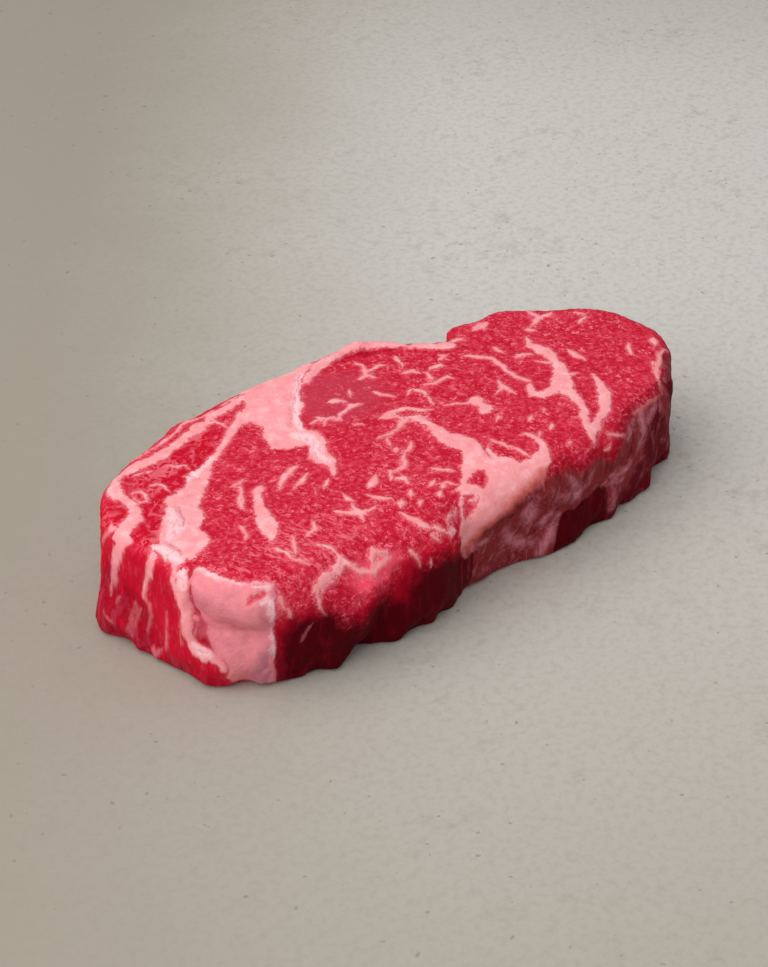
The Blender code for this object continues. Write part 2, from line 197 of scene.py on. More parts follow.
    "near_dot_h": [(-9.4, -28.3, 0.4), (-8.6, -29.5, 0.4)],
    "blob_tail": [(15.8, -2.4, 0.3), (18.3, -3.9, 0.5), (20.3, -5.2, 0.5), (21.3, -5.7, 0.5)],
    "fork_a": [(34.0, -3.6, 0.3), (33.2, -6.7, 0.8), (33.3, -10.2, 0.5)],
    "fork_b": [(29.8, -7.5, 0.4), (32.8, -6.6, 0.7)],
    "long_vein": [(37.1, 11.8, 0.4), (38.0, 10.2, 0.8), (39.5, 7.8, 1), (41.0, 6.1, 1.1),
        (40.8, 3.9, 0.9), (40.3, 1.4, 0.9), (39.6, -1.1, 0.8), (39.3, -5.2, 0.8), (40.3, -8.7, 0.9)],
    "speck_a": [(21.0, -16.4, 0.6), (21.8, -15.8, 0.6)],
    "speck_b": [(27.0, -22.3, 0.5), (27.8, -21.8, 0.5)],
    "speck_c": [(28.4, -28.9, 0.7), (29.4, -28.3, 0.7)],
    "speck_d": [(23.5, -29.3, 0.5), (24.3, -28.8, 0.5)],
    "speck_e": [(32.5, -21.8, 0.5), (33.3, -21.3, 0.5)],
    "speck_f": [(27.5, -36.2, 0.4), (28.3, -35.9, 0.4)],
    "seam_spur": [(48.3, -13.2, 1), (50.3, -14.0, 0.9), (52.3, -15.0, 0.5)],
    "seam_spur_b": [(52.3, -7.7, 0.6), (50.3, -5.5, 0.6), (49.3, -3.6, 0.3)],
    "end_fleck_a": [(59.3, -6.2, 0.7), (59.1, -8.7, 1), (59.3, -11.5, 0.6)],
    "end_fleck_b": [(73.6, -15.0, 0.4), (72.1, -16.6, 0.9), (70.8, -18.4, 0.5)],
    "end_fleck_c": [(78.8, -19.3, 0.8), (79.8, -18.1, 1)],
    "end_vein": [(80.3, -22.2, 0.4), (77.0, -23.0, 0.6), (74.9, -25.4, 0.8), (71.0, -27.9, 0.7),
        (68.9, -30.3, 0.6), (67.7, -32.6, 0.6), (66.9, -33.7, 0.4)],
    "end_vein_b": [(71.7, -25.4, 0.3), (69.4, -28.5, 0.5), (67.9, -31.3, 0.5)],
    "light_rim": [(53.4, -36.0, 0.3), (58.1, -35.2, 0.5), (61.5, -34.7, 0.5), (65.0, -34.1, 0.5),
        (67.0, -33.8, 0.4)],
}

# Fat that is wider than a stroke
FAT_AREAS = {
    "seam_foot": [(-72.2, 3.9), (-66.2, 6.8), (-62.2, 8.8), (-61.7, 5.8), (-62.7, 3.4), (-63.7, 1.4),
        (-66.2, 0.3), (-68.2, -1.1), (-67.7, -3.1), (-68.4, -5.7), (-69.7, -7.2), (-74.2, -8.7),
        (-77.2, -9.7), (-78.2, -7.2), (-76.2, -3.1), (-76.2, 0.8)],
    "white_tab": [(-81.0, 2.1), (-79.1, 1.4), (-77.2, -1.0), (-76.6, -3.2), (-76.5, -5.4), (-77.2, -7.7),
        (-79.5, -8.6), (-80.3, -6.7), (-80.9, -3.6), (-81.2, -0.6)],
    "cap_fat": [(-20.2, 37.4), (-24.2, 33.4), (-28.2, 31.2), (-31.2, 29.2), (-31.2, 27.8),
        (-27.2, 27.1), (-26.2, 24.9), (-27.2, 21.9), (-29.2, 19.9), (-30.2, 16.9), (-31.2, 13.8),
        (-29.2, 11.3), (-25.2, 9.8), (-23.2, 8.8), (-25.2, 5.8), (-27.2, 3.9), (-27.5, 0.8),
        (-26.8, -2.1), (-27.0, -4.2), (-28.8, -6.8), (-26.7, -6.2), (-25.2, -3.9), (-22.7, -1.1),
        (-22.2, 1.9), (-20.2, 4.8), (-18.2, 7.8), (-17.5, 10.3), (-18.2, 12.3), (-19.2, 15.3),
        (-17.2, 18.9), (-13.2, 22.4), (-10.2, 25.9), (-8.2, 29.4), (-3.2, 33.9), (2.8, 35.9),
        (2.8, 39.9), (-20.2, 40.9)],
    "front_fat": [(3.6, -9.1), (2.4, -13.5), (2.8, -17.4), (3.8, -20.0), (0.2, -24.7), (-3.6, -28.3),
        (-6.9, -31.0), (-10.3, -31.6), (-8.9, -33.0), (-10.8, -34.8), (-12.4, -36.4), (-15.4, -39.0),
        (-12, -42), (12, -42), (15.9, -38.6), (18.3, -38.2), (19.5, -37.2), (21.1, -35.2), (22.5, -32.2),
        (22.8, -28.8), (21.9, -25.6), (19.3, -25.5), (20.7, -26.8), (21.1, -29.5), (20.5, -32.1),
        (18.1, -34.0), (15.8, -34.1), (11.1, -34.3), (11.0, -33.2), (10.8, -31.8), (9.8, -30.2),
        (8.4, -29.0), (9.1, -26.8), (10.8, -22.9), (9.1, -24.1), (7.4, -27.4), (7.3, -26.0),
        (8.3, -23.3), (9.9, -20.2), (9.6, -17.3), (8.7, -15.1), (6.9, -12.1)],
    "outer_band": [(-74.6, 26.8), (-73.7, 28.8), (-70, 31), (-65.9, 32.1), (-60.9, 32.5), (-57.1, 32.0),
        (-51.0, 32.5), (-47.1, 33.3), (-42.0, 34.8), (-39.4, 35.1), (-36.9, 34.6), (-33.5, 36.9),
        (-29.9, 37.1), (-25.9, 37.2), (-21.7, 38.1), (-19.4, 37.8), (-21.6, 35.2), (-26.3, 34.9),
        (-30.2, 34.4), (-33.7, 34.3), (-35.2, 33.1), (-37.9, 32.8), (-39.2, 31.2), (-41.9, 32.7),
        (-45.4, 31.1), (-48.4, 30.4), (-52.0, 30.0), (-53.9, 28.4), (-55.9, 28.8), (-60.4, 29.0),
        (-63.5, 29.1), (-67.6, 30.1), (-69.9, 27.8), (-72.2, 25.8)],
    "seam_tear": [(-76.8, 2.4), (-74.9, 4.4), (-72.2, 6.7), (-70.1, 10.0), (-67.5, 11.6), (-67.3, 14.0),
        (-62.4, 15.0), (-58.1, 15.8), (-55.8, 18.0), (-55.9, 19.6), (-52.3, 19.5), (-47.9, 20.2),
        (-49.5, 16.5), (-56.0, 11.2), (-60, 8), (-68, 4)],
    "right_blob": [(21.3, -4.7), (23.3, -4.4), (25.0, -5.0), (24.8, -7.7), (23.8, -8.2), (24.3, -11.2),
        (22.3, -13.0), (20.0, -12.0), (20.4, -10.2), (21.3, -8.7)],
    "nodule_top": [(-81.7, -11.3), (-80.7, -12.3), (-78.2, -12.6), (-77.0, -16.1), (-76.0, -19.6),
        (-74.2, -23.1), (-73.2, -24.6), (-70.2, -26.6), (-68.7, -28.1), (-68.4, -30.6), (-70.2, -32.1),
        (-78.2, -25.1), (-84.2, -16.1)],
}

# Lean let into those areas
RED_AREAS = {
    "front_red_a": [(-4.7, -31.3), (-1.8, -29.9), (0.6, -29.6), (1.9, -31.4), (1.4, -32.8), (-1.1, -34.4),
        (-2.6, -35.4), (-3.5, -34.2), (-4.3, -33.0), (-5.3, -31.9)],
    "front_red_b": [(-8.2, -34.1), (-6.2, -34.9), (-5.4, -36.1), (-6.5, -36.6), (-9.7, -36.9),
        (-10.9, -36.4), (-10.8, -35.6), (-9.7, -34.8)],
}

# Whiter, torn parts of the fat
SINEW = {
    "cap_membrane": [(-3.6, 34.6, 0.9), (-7.2, 31.0, 1), (-11.9, 26.2, 1.1), (-15.4, 22.2, 1.1),
        (-18.5, 18.0, 1.1), (-19.8, 15.2, 0.9)],
    "seam_white": [(-76.0, 0.6, 1), (-73.4, 2.2, 1.7), (-71.0, 3.8, 2.2), (-69.2, 6.8, 1.8),
        (-68.2, 9.6, 0.9)],
    "seam_white_b": [(-57.2, 17.6, 0.9), (-53.2, 18.6, 1), (-48.2, 19.9, 0.8), (-45.4, 21.3, 0.7)],
    "tab_flap": [(-81.0, 1.4, 0.5), (-79.6, -0.8, 1.4), (-78.8, -3.6, 1.7), (-78.6, -6.2, 1.4),
        (-79.4, -8.2, 0.6)],
    "seam_heart": [(-23.2, 14.8, 1.2), (-21.2, 10.8, 1.8), (-22.2, 6.8, 1.5), (-24.7, 2.9, 1.2),
        (-25.2, -1.1, 1.1)],
    "lobe_rim": [(-77.9, -13, 0.2), (-77.6, -15.6, 0.35), (-76.8, -18.9, 0.35), (-75.7, -21.3, 0.35),
        (-74.1, -23.7, 0.3), (-72.8, -25.3, 0.2)],
    "front_white": [(-17.9, -38.6, 0.4), (-16.2, -38.9, 0.6)],
}

# Creases between muscles, and between lean and fat, painted darker as painted shade in them
CREASES = {
    "cap_crease": [(-3.2, 35.2, 0.35), (-5.7, 32.4, 0.3), (-9.5, 29.2, 0.3), (-14.5, 24.7, 0.25),
        (-19.5, 19.9, 0.25), (-22.0, 16.9, 0.15)],
    "cap_crease_b": [(-6.7, 30.5, 0.15), (-11.2, 25.2, 0.2), (-16.5, 20.2, 0.15)],
    "lip_gutter": [(8.8, 33.4, 0.2), (14.1, 32.5, 0.5), (17.3, 31.1, 0.8), (20.7, 29.6, 0.9),
        (23.6, 27.8, 0.8), (25.5, 26.7, 0.4)],
    "seam_crease": [(-69.7, 2.9, 0.3), (-68.2, 4.8, 0.45), (-66.7, 7.3, 0.45), (-65.4, 9.8, 0.3)],
    "seam_crease_b": [(-54.7, 19.4, 0.3), (-53.7, 17.4, 0.4), (-52.7, 15.8, 0.3)],
    "nodule_crease": [(-80.9, -12.2, 0.5), (-79.2, -11.3, 0.5), (-77.7, -10.7, 0.35)],
    "mid_crease": [(8.8, -23.9, 0.3), (7.9, -25.8, 0.35), (7.3, -27.8, 0.3)],
    "tab_crease": [(-77.0, -0.3, 0.4), (-76.5, -3.6, 0.4), (-77.5, -6.2, 0.35)],
}

# The walls, as upright planes seen from outside: where each starts and ends in X, Y. A mark
# on a wall is given by its distance along that plane and its height above the board.
WALLS = {
    "end": ((-84.2, 26.9), (-82.2, -18.1)),
    "lobe": ((-82.7, -9.1), (-58.2, -37.1)),
    "near_left": ((-62.2, -35.1), (-8.2, -40.1)),
    "near_middle": ((-12.2, -37.1), (39.8, -40.1)),
    "near_right": ((34.8, -40.1), (87.8, -21.1)),
}

# Fat on the walls, in the same three kinds
WALL_BROAD_FAT = {
    "end": {
        "first_stripe": [(18.3, 34.5, 2.2), (18.2, 33, 2.1), (17.6, 31.3, 2), (16.4, 27.7, 1.7),
            (15.5, 24.3, 1.4), (14.9, 20.2, 1), (14.1, 16, 0.6), (13.8, 13.7, 0.2)],
        "second_stripe": [(27.4, 33.4, 0.8), (27.3, 31.9, 1), (27.8, 30.2, 1.1), (27.1, 26.3, 1),
            (25.7, 21.8, 0.7), (25.1, 18.4, 0.2)],
        "sinew_strip": [(36.4, 34, 1.2), (36.8, 31.2, 1.3), (38.4, 28, 1.3), (39.7, 25.1, 0.9),
            (40.8, 21.8, 0.8), (41.5, 18.7, 1), (41, 15.7, 1.1), (42.4, 13, 1.3), (44.4, 11.6, 1.6),
            (46.8, 10.7, 1.8)],
    },
    "lobe": {
        "sinew_strip": [(0, 29, 1), (1.4, 25, 1), (2.6, 21.7, 1), (3, 17.5, 1.3), (4.6, 13.6, 1.7),
            (6.7, 12, 2), (9, 11.4, 1.6), (12, 9.6, 1), (12.6, 7.6, 0.8)],
        "foot_fat": [(13.8, 5.2, 0.8), (15.5, 4.3, 1), (17, 4.2, 0.8)],
    },
}

WALL_THIN_FAT = {
    "end": {
        "beside_first": [(12, 32.3, 0.8), (11.3, 30.7, 0.7), (9, 26.8, 0.4)],
        "corner_streak": [(8.6, 26, 0.3), (9, 21.2, 0.45), (8.7, 17, 0.3)],
        "thread_a": [(24.9, 19.1, 0.3), (26.7, 17.2, 0.4), (27.3, 14, 0.45), (26.4, 11.3, 0.4),
            (26, 8.4, 0.3)],
        "thread_b": [(21.9, 15.2, 0.3), (21.1, 11.9, 0.45), (20.6, 8, 0.4), (19.9, 6.2, 0.3)],
        "thread_c": [(23.8, 14.2, 0.3), (22.8, 11.5, 0.4), (21.7, 8.5, 0.4), (21.2, 5.3, 0.3)],
        "thread_d": [(32.9, 17.8, 0.2), (33, 14, 0.3), (32.7, 10, 0.4), (31.8, 5.6, 0.5)],
        "thread_e": [(39.3, 15.8, 0.4), (39.4, 12.4, 0.4)],
        "foot_white": [(27.8, 3.8, 0.8), (28.2, 1.6, 0.9), (29.6, 4.3, 0.7)],
        "low_specks": [(12.5, 8.4, 0.5), (13.6, 7.5, 0.6), (15, 7.1, 0.5)],
        "low_dot": [(16.2, 13.3, 0.5), (16.8, 14.6, 0.4)],
    },
    "lobe": {
        "tongue": [(6.2, 19.6, 0.2), (5.8, 18.2, 0.4), (5.3, 16.4, 0.5), (4.8, 14.8, 0.4)],
        "beside_a": [(26.3, 28.6, 0.5), (27, 27, 0.5), (27.2, 25.6, 0.3)],
        "beside_b": [(28.4, 24.6, 0.3), (28.7, 22.6, 0.35)],
        "beside_thread": [(31.2, 14.5, 0.2), (32, 17, 0.3), (33.4, 19, 0.25)],
    },
    "near_left": {
        "band_drop": [(4.3, 21.2, 0.2), (3, 23.7, 0.5), (3.3, 27.1, 0.6), (4.8, 28.9, 0.6),
            (7.7, 29.6, 0.5), (11, 29.2, 0.5), (12.8, 30.1, 0.4)],
        "thread_b": [(31.4, 27.5, 0.35), (32.8, 25, 0.4), (33, 23, 0.3)],
        "dot_a": [(35.8, 22.6, 0.5), (36, 24, 0.4)],
        "dot_b": [(38.6, 28.6, 0.6), (39.4, 27.8, 0.5)],
    },
    "near_right": {
        "window_edge": [(3.8, 15.2, 0.5), (4.8, 15.6, 0.8), (5.6, 14.4, 0.4)],
        "red_fleck": [(3.2, 26.6, 0.3), (4.4, 26.2, 0.5), (5.2, 27, 0.3)],
        "red_fleck_b": [(6.4, 29.4, 0.3), (8, 28.6, 0.4), (10.4, 27.4, 0.5), (11.6, 26.6, 0.3)],
        "low_streak": [(35, 8.2, 0.3), (40, 5.2, 0.45), (45, 1.6, 0.4)],
        "high_streak": [(30.4, 27, 0.4), (33, 25, 0.5), (35.4, 22.4, 0.4)],
    },
}

WALL_FAT_AREAS = {
    "lobe": {
        "nodule": [(4.6, 36), (4.4, 28), (4.7, 25), (5.6, 23), (7.2, 21.2), (8.4, 19.4), (8.2, 17),
            (9.2, 15), (10, 13), (11.4, 11), (13.2, 10.4), (13.8, 8), (13.2, 6), (14, 2.6), (24.6, 0),
            (24.8, 4.4), (24.5, 8.8), (25, 12), (25.3, 15), (24.4, 18.6), (25.2, 21.7), (25.6, 25.4),
            (24.9, 28.4), (25, 30.7), (24.2, 36)],
    },
    "near_left": {
        "outer_fat": [(46.9, 25.2), (49.9, 26.4), (50.3, 28.2), (51.8, 30.5), (53, 33), (53, 38),
            (57, 38), (57, 14), (55, 13.6), (53, 15.4), (51.4, 17.9), (49.4, 21.4)],
    },
    "near_middle": {
        "outer_fat": [(-4, 24), (-0.3, 19), (1.6, 14.4), (3.2, 12), (5, 15.6), (7.5, 18.6), (11.3, 20.8),
            (15, 22), (19, 23.8), (23.2, 24.6), (26.9, 27), (28.6, 30), (30, 31), (30, 38), (2, 38),
            (1.4, 31), (0.2, 28.4), (-0.6, 26.4), (-3, 25)],
    },
}

# Lean let into the fat of the lobe
WALL_RED_AREAS = {
    "lobe": {
        "blush": [(18.6, 28), (18.9, 29.4), (19.9, 30.1), (21.4, 30.4), (22.9, 30.5), (23.3, 29.7),
            (22.1, 29.3), (20.8, 28.8), (19.7, 28.1)],
    },
}

# Whiter, torn parts of the fat on the walls
WALL_SINEW = {
    "end": {
        "strip_core": [(36.4, 32.6, 0.7), (37.6, 30, 0.9), (38.6, 27.8, 0.5)],
        "foot": [(28, 3.4, 0.4), (28.6, 1.8, 0.4)],
    },
    "lobe": {
        "strip_foot": [(5.2, 13.6, 0.7), (6.8, 12.2, 1.4), (8.8, 11.8, 1.1)],
        "knot": [(18.4, 32, 0.3), (20.6, 31.8, 0.6), (22.8, 31.6, 0.6), (23.8, 31, 0.4)],
        "torn": [(21.9, 28.2, 0.3), (23.6, 28.4, 0.9), (24.8, 27, 1), (24.6, 24.6, 0.9), (24.6, 22.6, 0.4)],
        "right_border": [(24.4, 19.6, 0.2), (24.2, 17.6, 0.5), (24.8, 15.4, 0.3), (24.2, 13, 0.8),
            (24.6, 10.5, 0.2)],
    },
}

# Greyish skin over the near wall
SKIN_AREAS = {
    "near_middle": {
        "main": [(1.8, 12), (2.4, 15.6), (3.2, 14.8), (4.6, 19), (6.6, 22.2), (10.5, 24), (14.2, 25),
            (18.3, 26.6), (22.5, 27.3), (26.5, 28.8), (28.2, 29.2), (34.2, 28.5),
            (39.9, 25), (43.4, 25.6), (46.4, 26.4), (49, 25), (53, 21.8), (56, 23.6), (56, -2), (3, -2)],
    },
    "near_right": {
        "main": [(-4, 25.4), (-1.6, 25.6), (1.5, 24.6), (6.4, 21.6), (8.6, 23.6), (9.8, 25.3),
            (12, 27.6), (14, 28.8), (18.7, 29.6), (24, 29.2), (28.7, 28.8), (36, 31), (46, 31),
            (51, 29), (55, 24), (54.6, 18), (56, 12), (54.8, 5), (55.6, -2), (-4, -2)],
    },
}

# Where it is torn back to the dark lean
BARE_AREAS = {
    "near_middle": {
        "window": [(33.6, -2), (33.6, 1.8), (34.2, 6), (35, 8.5), (36.2, 13), (38.4, 12.6),
            (40.5, 11.6), (41.9, 14), (44.6, 13.6), (47.2, 13.9), (50.9, 14.2), (52, 11), (53.1, 7.3),
            (54.2, 1.3), (54.2, -2)],
    },
    "near_right": {
        "window": [(-6, -2), (-6, 14), (-1, 13.8), (2.6, 14.9), (4, 14), (5.3, 12.3), (6.3, 7.3),
            (7.4, 1.3), (7.4, -2)],
    },
}

# Where it is paler
PALE_SKIN = {
    "near_middle": {
        "patch_a": [(22.5, 20.5, 2.4), (24, 17, 2)],
        "patch_b": [(35.3, 19.8, 1.2), (39.4, 17.8, 1.8), (41.2, 18.3, 1)],
        "patch_b2": [(35.4, 24.9, 0.6), (39.1, 20.4, 1)],
        "patch_c": [(29, 3, 1.4), (30.9, 6.9, 1.7), (32.4, 9.6, 1.4), (33.7, 12.4, 0.7)],
        "patch_d": [(29, 12.6, 1.2), (31, 15, 1)],
        "patch_e": [(6, 16.5, 1.2), (9, 16, 1)],
        "patch_e2": [(15, 17, 0.8), (18, 12, 1.2), (22, 8, 1.4), (26, 7, 1)],
    },
    "near_right": {
        "patch_f": [(21, 28, 1.5), (20.4, 24.5, 1.7), (19.8, 20.6, 1.5), (19.2, 18.4, 0.9)],
        "patch_g": [(15.6, 28, 0.9), (14.5, 26.4, 1), (13.1, 25.4, 0.6)],
        "patch_h": [(6.4, 16.4, 0.5), (9, 15.4, 1.1), (12.6, 14.8, 1.3), (14.6, 16, 0.7)],
        "patch_i": [(5.8, 14.6, 0.4), (8.3, 13.6, 0.7), (11.6, 12.4, 0.7)],
        "patch_j": [(28, 27.6, 0.4), (25.3, 26.6, 0.6), (23.6, 24.8, 0.6)],
        "patch_k": [(23.8, 10, 0.3), (23.4, 7.3, 0.5), (21.9, 6, 0.3)],
        "patch_l": [(8.6, 9, 0.8), (9.6, 4.6, 1.2)],
        "patch_m": [(43.6, 24, 0.6), (44.6, 17, 0.7), (46, 10, 0.5)],
        "patch_n": [(40, 6.4, 0.5), (45, 5.6, 0.6)],
    },
}

# Painted shade: where the near wall is turned from the light it is painted almost black, over its drier
# lean
DARK_AREAS = {
    "lobe": {
        "beside_lobe": [(25.2, 1), (25.6, 8), (26, 13), (27, 17.6), (29.4, 20.8), (33, 21.8),
            (37, 21.4), (44, 20), (44, -2), (25.2, -2)],
    },
    "near_left": {
        "main": [(-7, 4), (-4.2, 12.2), (-2.4, 14), (-0.5, 17.1), (1, 20.4), (2.9, 21.7), (5.4, 20.3),
            (8.1, 18.1), (10.9, 15.9), (13.1, 16.1), (14.6, 15), (15.9, 16.2), (17, 18.3), (19, 19.7),
            (24.5, 16.2), (27, 14), (29.1, 14.8), (29.5, 16.6), (30.5, 19.5), (32.4, 21.5),
            (35.1, 22.8), (38.1, 23.2), (42.1, 22.8), (46, 20), (49, 18), (51.2, 16.5), (55, 14),
            (57, 12), (57, -2), (-6, -2)],
    },
    "near_middle": {
        "cleft": [(-6, 18), (0, 17), (2.2, 13.4), (3, 8), (3.2, -2), (-6, -2)],
    },
}

# Deep red showing through the skin
DEEP_AREAS = {
    "near_right": {
        "middle": [(23, 23.6), (27.7, 25), (32.4, 21.4), (37.5, 13), (42, 3), (28, 3), (18, 5),
            (16.4, 9), (19, 12), (22.4, 14), (22.8, 18)],
        "round_end": [(36.6, 29), (41, 29), (44, 25), (52, 23), (53, 3), (45, 1), (42, 10), (37.6, 20)],
        "foot": [(12.6, 9), (15.4, 6), (22, 5), (32, 6), (44, 5), (44, -2), (9, -2), (8.4, 3), (10, 6)],
    },
}

# Painted half-shade: smooth deeper crimson where the meat turns down over the shoulder, away from the light
CRIMSON_AREAS = {
    "near_left": {
        "shoulder": [(32, 27.2), (36.9, 28.4), (42, 29), (48, 27), (52, 22), (53, 15), (42.1, 21),
            (35.1, 21), (30.5, 17), (27, 12.8), (22.6, 18), (24.5, 22.6), (28.9, 23.2)],
        "tongue": [(10, 17), (13, 14), (16, 14), (18, 17), (20, 18), (23, 17), (22, 20.6), (18, 22),
            (14.6, 19.6)],
        "left": [(-7, 12), (-3, 15), (0, 20), (3, 21), (6, 20), (4, 24), (-1, 23), (-5, 19)],
    },
    "near_right": {
        "bay": [(0.4, 28.6), (3.2, 28.9), (7.4, 28.6), (10.3, 28.3), (12.5, 27.6), (9.8, 25.3),
            (8.6, 23.6), (6.4, 21.9), (1.5, 24.8), (-1.2, 26.9)],
    },
}

# Painted light: where the shoulder catches the light, its lean is painted brighter
LIT_AREAS = {
    "near_left": {
        "belly": [(12, 27), (14, 24), (18, 22.6), (22, 22), (26, 24), (29, 26.4), (28, 28.6), (20, 29)],
    },
}

# Where the end is a dull, darker pinkish red
DULL_AREAS = {
    "end": {
        "low": [(4, 25), (13, 24), (20, 20), (24, 17.6), (27.4, 15), (27.6, 10), (31, 6.4), (40, 4),
            (50, 2), (50, -2), (4, -2)],
    },
    "lobe": {
        "beside": [(4, 24), (6.6, 22.4), (8.6, 20.6), (9.4, 16), (12, 11.6), (8, 13), (5, 16), (4, 20)],
    },
}

# The shaded waist of the lobe
WALL_SHADE = {
    "lobe": {
        "waist": [(6.4, 20.4, 0.8), (9.5, 20.2, 0.9), (14, 19.8, 0.8), (17, 19.6, 0.4)],
        "below_waist": [(7, 18, 1.4), (6, 21.5, 1)],
    },
}

# The lilac-grey bruise at its foot
BRUISE = {
    "lobe": {
        "foot": [(23.2, 14.6, 0.4), (22.6, 11.4, 1.5), (21.8, 7, 2.1), (20.9, 3, 2.4)],
    },
}

# Creases, folds and torn edges on the walls, painted darker as painted shade in them
WALL_CREASES = {
    "end": {
        "beside_lobe": [(40.5, 34, 0.4), (40.4, 29, 0.4), (40.6, 25, 0.5), (43, 21.6, 0.5)],
    },
    "lobe": {
        "beside_lobe": [(4.3, 33.5, 0.5), (4.4, 30, 0.45), (4.7, 26, 0.5), (6.3, 23.6, 0.5),
            (8.4, 21.4, 0.5), (10.9, 20.5, 0.35), (14.5, 20.6, 0.2), (16.1, 18.4, 0.1)],
        "right_edge": [(25.6, 22, 0.4), (25.8, 16, 0.5), (25.6, 10, 0.6), (25.8, 3, 0.7)],
        "inner": [(22, 25, 0.2), (23.6, 22, 0.3), (24.4, 19.6, 0.3)],
    },
    "near_left": {
        "cleft": [(53.6, 19, 0.3), (54.6, 15, 0.6), (55.4, 8, 0.8), (55.6, 2, 0.8)],
    },
    "near_middle": {
        "cleft": [(2, 16.6, 0.4), (3, 12, 0.8), (3.6, 6, 0.9), (4, 1, 0.9)],
        "skin_line_a": [(20.6, 27.4, 0.3), (22, 24.4, 0.3), (22.4, 22, 0.2)],
        "skin_line_b": [(25, 9.4, 0.3), (29, 11, 0.3), (34, 9.6, 0.2)],
        "window_rim": [(34.3, 0.5, 0.4), (35, 7, 0.4), (36, 11, 0.4), (37.4, 12.4, 0.4),
            (40, 11.4, 0.4), (42.6, 12.8, 0.3)],
    },
    "near_right": {
        "skin_line_a": [(15.8, 28, 0.2), (15.5, 25.8, 0.3), (14.8, 20.6, 0.35), (12.6, 16.8, 0.2)],
        "fold": [(3.4, 14.8, 0.3), (4.6, 15.7, 0.4), (5.9, 17.4, 0.2)],
        "skin_line_b": [(30, 27.6, 0.4), (28.6, 25.4, 0.4), (27.6, 20, 0.4)],
        "skin_line_c": [(36, 30, 0.4), (37, 26, 0.5), (38.6, 20, 0.5), (43, 15.6, 0.4)],
        "window_rim": [(4.4, 13.6, 0.4), (6, 11, 0.5), (6.8, 6, 0.5), (7.3, 1, 0.4)],
    },
}

# All of the smooth fat lobe, on its own wall
LOBE_AREAS = {
    "lobe": {
        "all": [(3.6, 38), (3.6, 25), (6.6, 21.6), (5, 18), (9, 12), (13, 9), (13, -2), (25.6, -2),
            (25.6, 38)],
    },
}

# Places pushed in at the foot of the wall, where the floor shows under the meat's edge, and
# drawn out where it bulges: a point on the foot, the way in, how far to either side, how far
# in, and the height over which the push fades
FOOT_PUSHES = [
    ((-58.2, -32.6), (0.0, 1.0), 3.6, 1.2, 6),
    ((-45.4, -32.6), (0.1, 1.0), 5.0, 2.4, 8),
    ((-37.6, -34.0), (0.0, 1.0), 3.2, 0.8, 5),
    ((-28.4, -37.4), (0.05, 1.0), 7.2, 2.6, 8),
    ((-19.0, -37.2), (-0.1, 1.0), 4.6, 2.0, 8),
    ((-5.6, -33.8), (0.0, 1.0), 4.2, 1.4, 6),
    ((36.8, -38.0), (0.0, 1.0), 7.6, 1.8, 7),
    ((49.0, -37.2), (-0.1, 1.0), 4.6, 2.0, 8),
    ((68.8, -32.4), (-0.35, 0.94), 8.6, 2.6, 9),
    ((-83.6, 10.0), (1.0, 0.0), 6.8, 2.2, 8),
    ((-81.8, -11.6), (0.95, 0.3), 7.6, 2.2, 8),
    ((-75.0, -24.9), (0.75, 0.66), 4.6, 1.6, 9),
    ((86.0, -17.0), (-0.93, 0.37), 17.0, -1.2, 200),
    ((-86.4, 12.0), (0.98, -0.2), 14.0, -0.7, 200),
    ((-53.0, -33.0), (0.0, 1.0), 3.6, -0.9, 7),
]
PUSH_REACH = 12.0       # how far in under the meat a push is still felt

# Seams that run down through the whole thickness
THROUGH_SEAMS = ("outer_band", "main_seam", "mid_seam", "right_seam", "lower_strip")
THROUGH_AREAS = ("outer_band", "cap_fat", "front_fat")

# The deep red strip of lean between the outer band and the main seam
STRIP_LINE = [(-78, 5, 4), (-70, 12, 5), (-63, 20, 6), (-52, 25, 5), (-42, 28, 4)]

# Round patches of the upper face: the middle in X, Y, and the reach along X and along Y
DULL_PATCH = ((-3, 20), (17, 15))
BRIGHT_PATCH = ((-78, 15), (9, 9))
COMBED_PATCH = ((-56, -24), (26, 11))

# Where a wall's marks are gone and where they hold: off its plane, and past its ends
WALL_REACH = (16, 11)
WALL_OVERRUN = (3, 1)

# ---- Distances from the marks ------------------------------------------------------------


def ramp(value, start, end):
    """0 at start and 1 at end, with an easy curve between; the ends may be either way round."""
    t = np.clip((value - start) / (end - start), 0, 1)
    return t * t * (3 - 2 * t)


def stroke_offset(points, stroke):
    """Signed offset from a stroke, its half-width there, and the distance from its edge."""
    offset = np.full(len(points), FAR)
    half = np.full(len(points), 0.5)
    best = np.full(len(points), FAR)
    for (x0, y0, h0), (x1, y1, h1) in zip(stroke, stroke[1:]):
        run = np.array([x1 - x0, y1 - y0])
        length = float(np.hypot(*run)) or TINY
        rel = points - (x0, y0)
        t = np.clip(rel @ run / length ** 2, 0, 1)
        away = rel - t[:, None] * run
        distance = np.hypot(away[:, 0], away[:, 1])
        width = h0 + (h1 - h0) * t
        side = np.where(rel @ np.array([-run[1], run[0]]) < 0, -1.0, 1.0)
        nearer = distance - width < best
        best = np.where(nearer, distance - width, best)
        offset = np.where(nearer, side * distance, offset)
        half = np.where(nearer, width, half)
    return offset, half, best


def area_distance(points, corners):
    """Signed distance from the edge of a closed area, negative inside it."""
    best = np.full(len(points), FAR)
    inside = np.zeros(len(points), bool)
    for (x0, y0), (x1, y1) in zip(corners, corners[1:] + corners[:1]):
        run = np.array([x1 - x0, y1 - y0])
        rel = points - (x0, y0)
        t = np.clip(rel @ run / (run @ run), 0, 1)
        away = rel - t[:, None] * run
        best = np.minimum(best, np.hypot(away[:, 0], away[:, 1]))
        crosses = (y0 > points[:, 1]) != (y1 > points[:, 1])
        share = (points[:, 1] - y0) / ((y1 - y0) or TINY)
        inside ^= crosses & (points[:, 0] < x0 + share * (x1 - x0))
    return np.where(inside, -best, best)


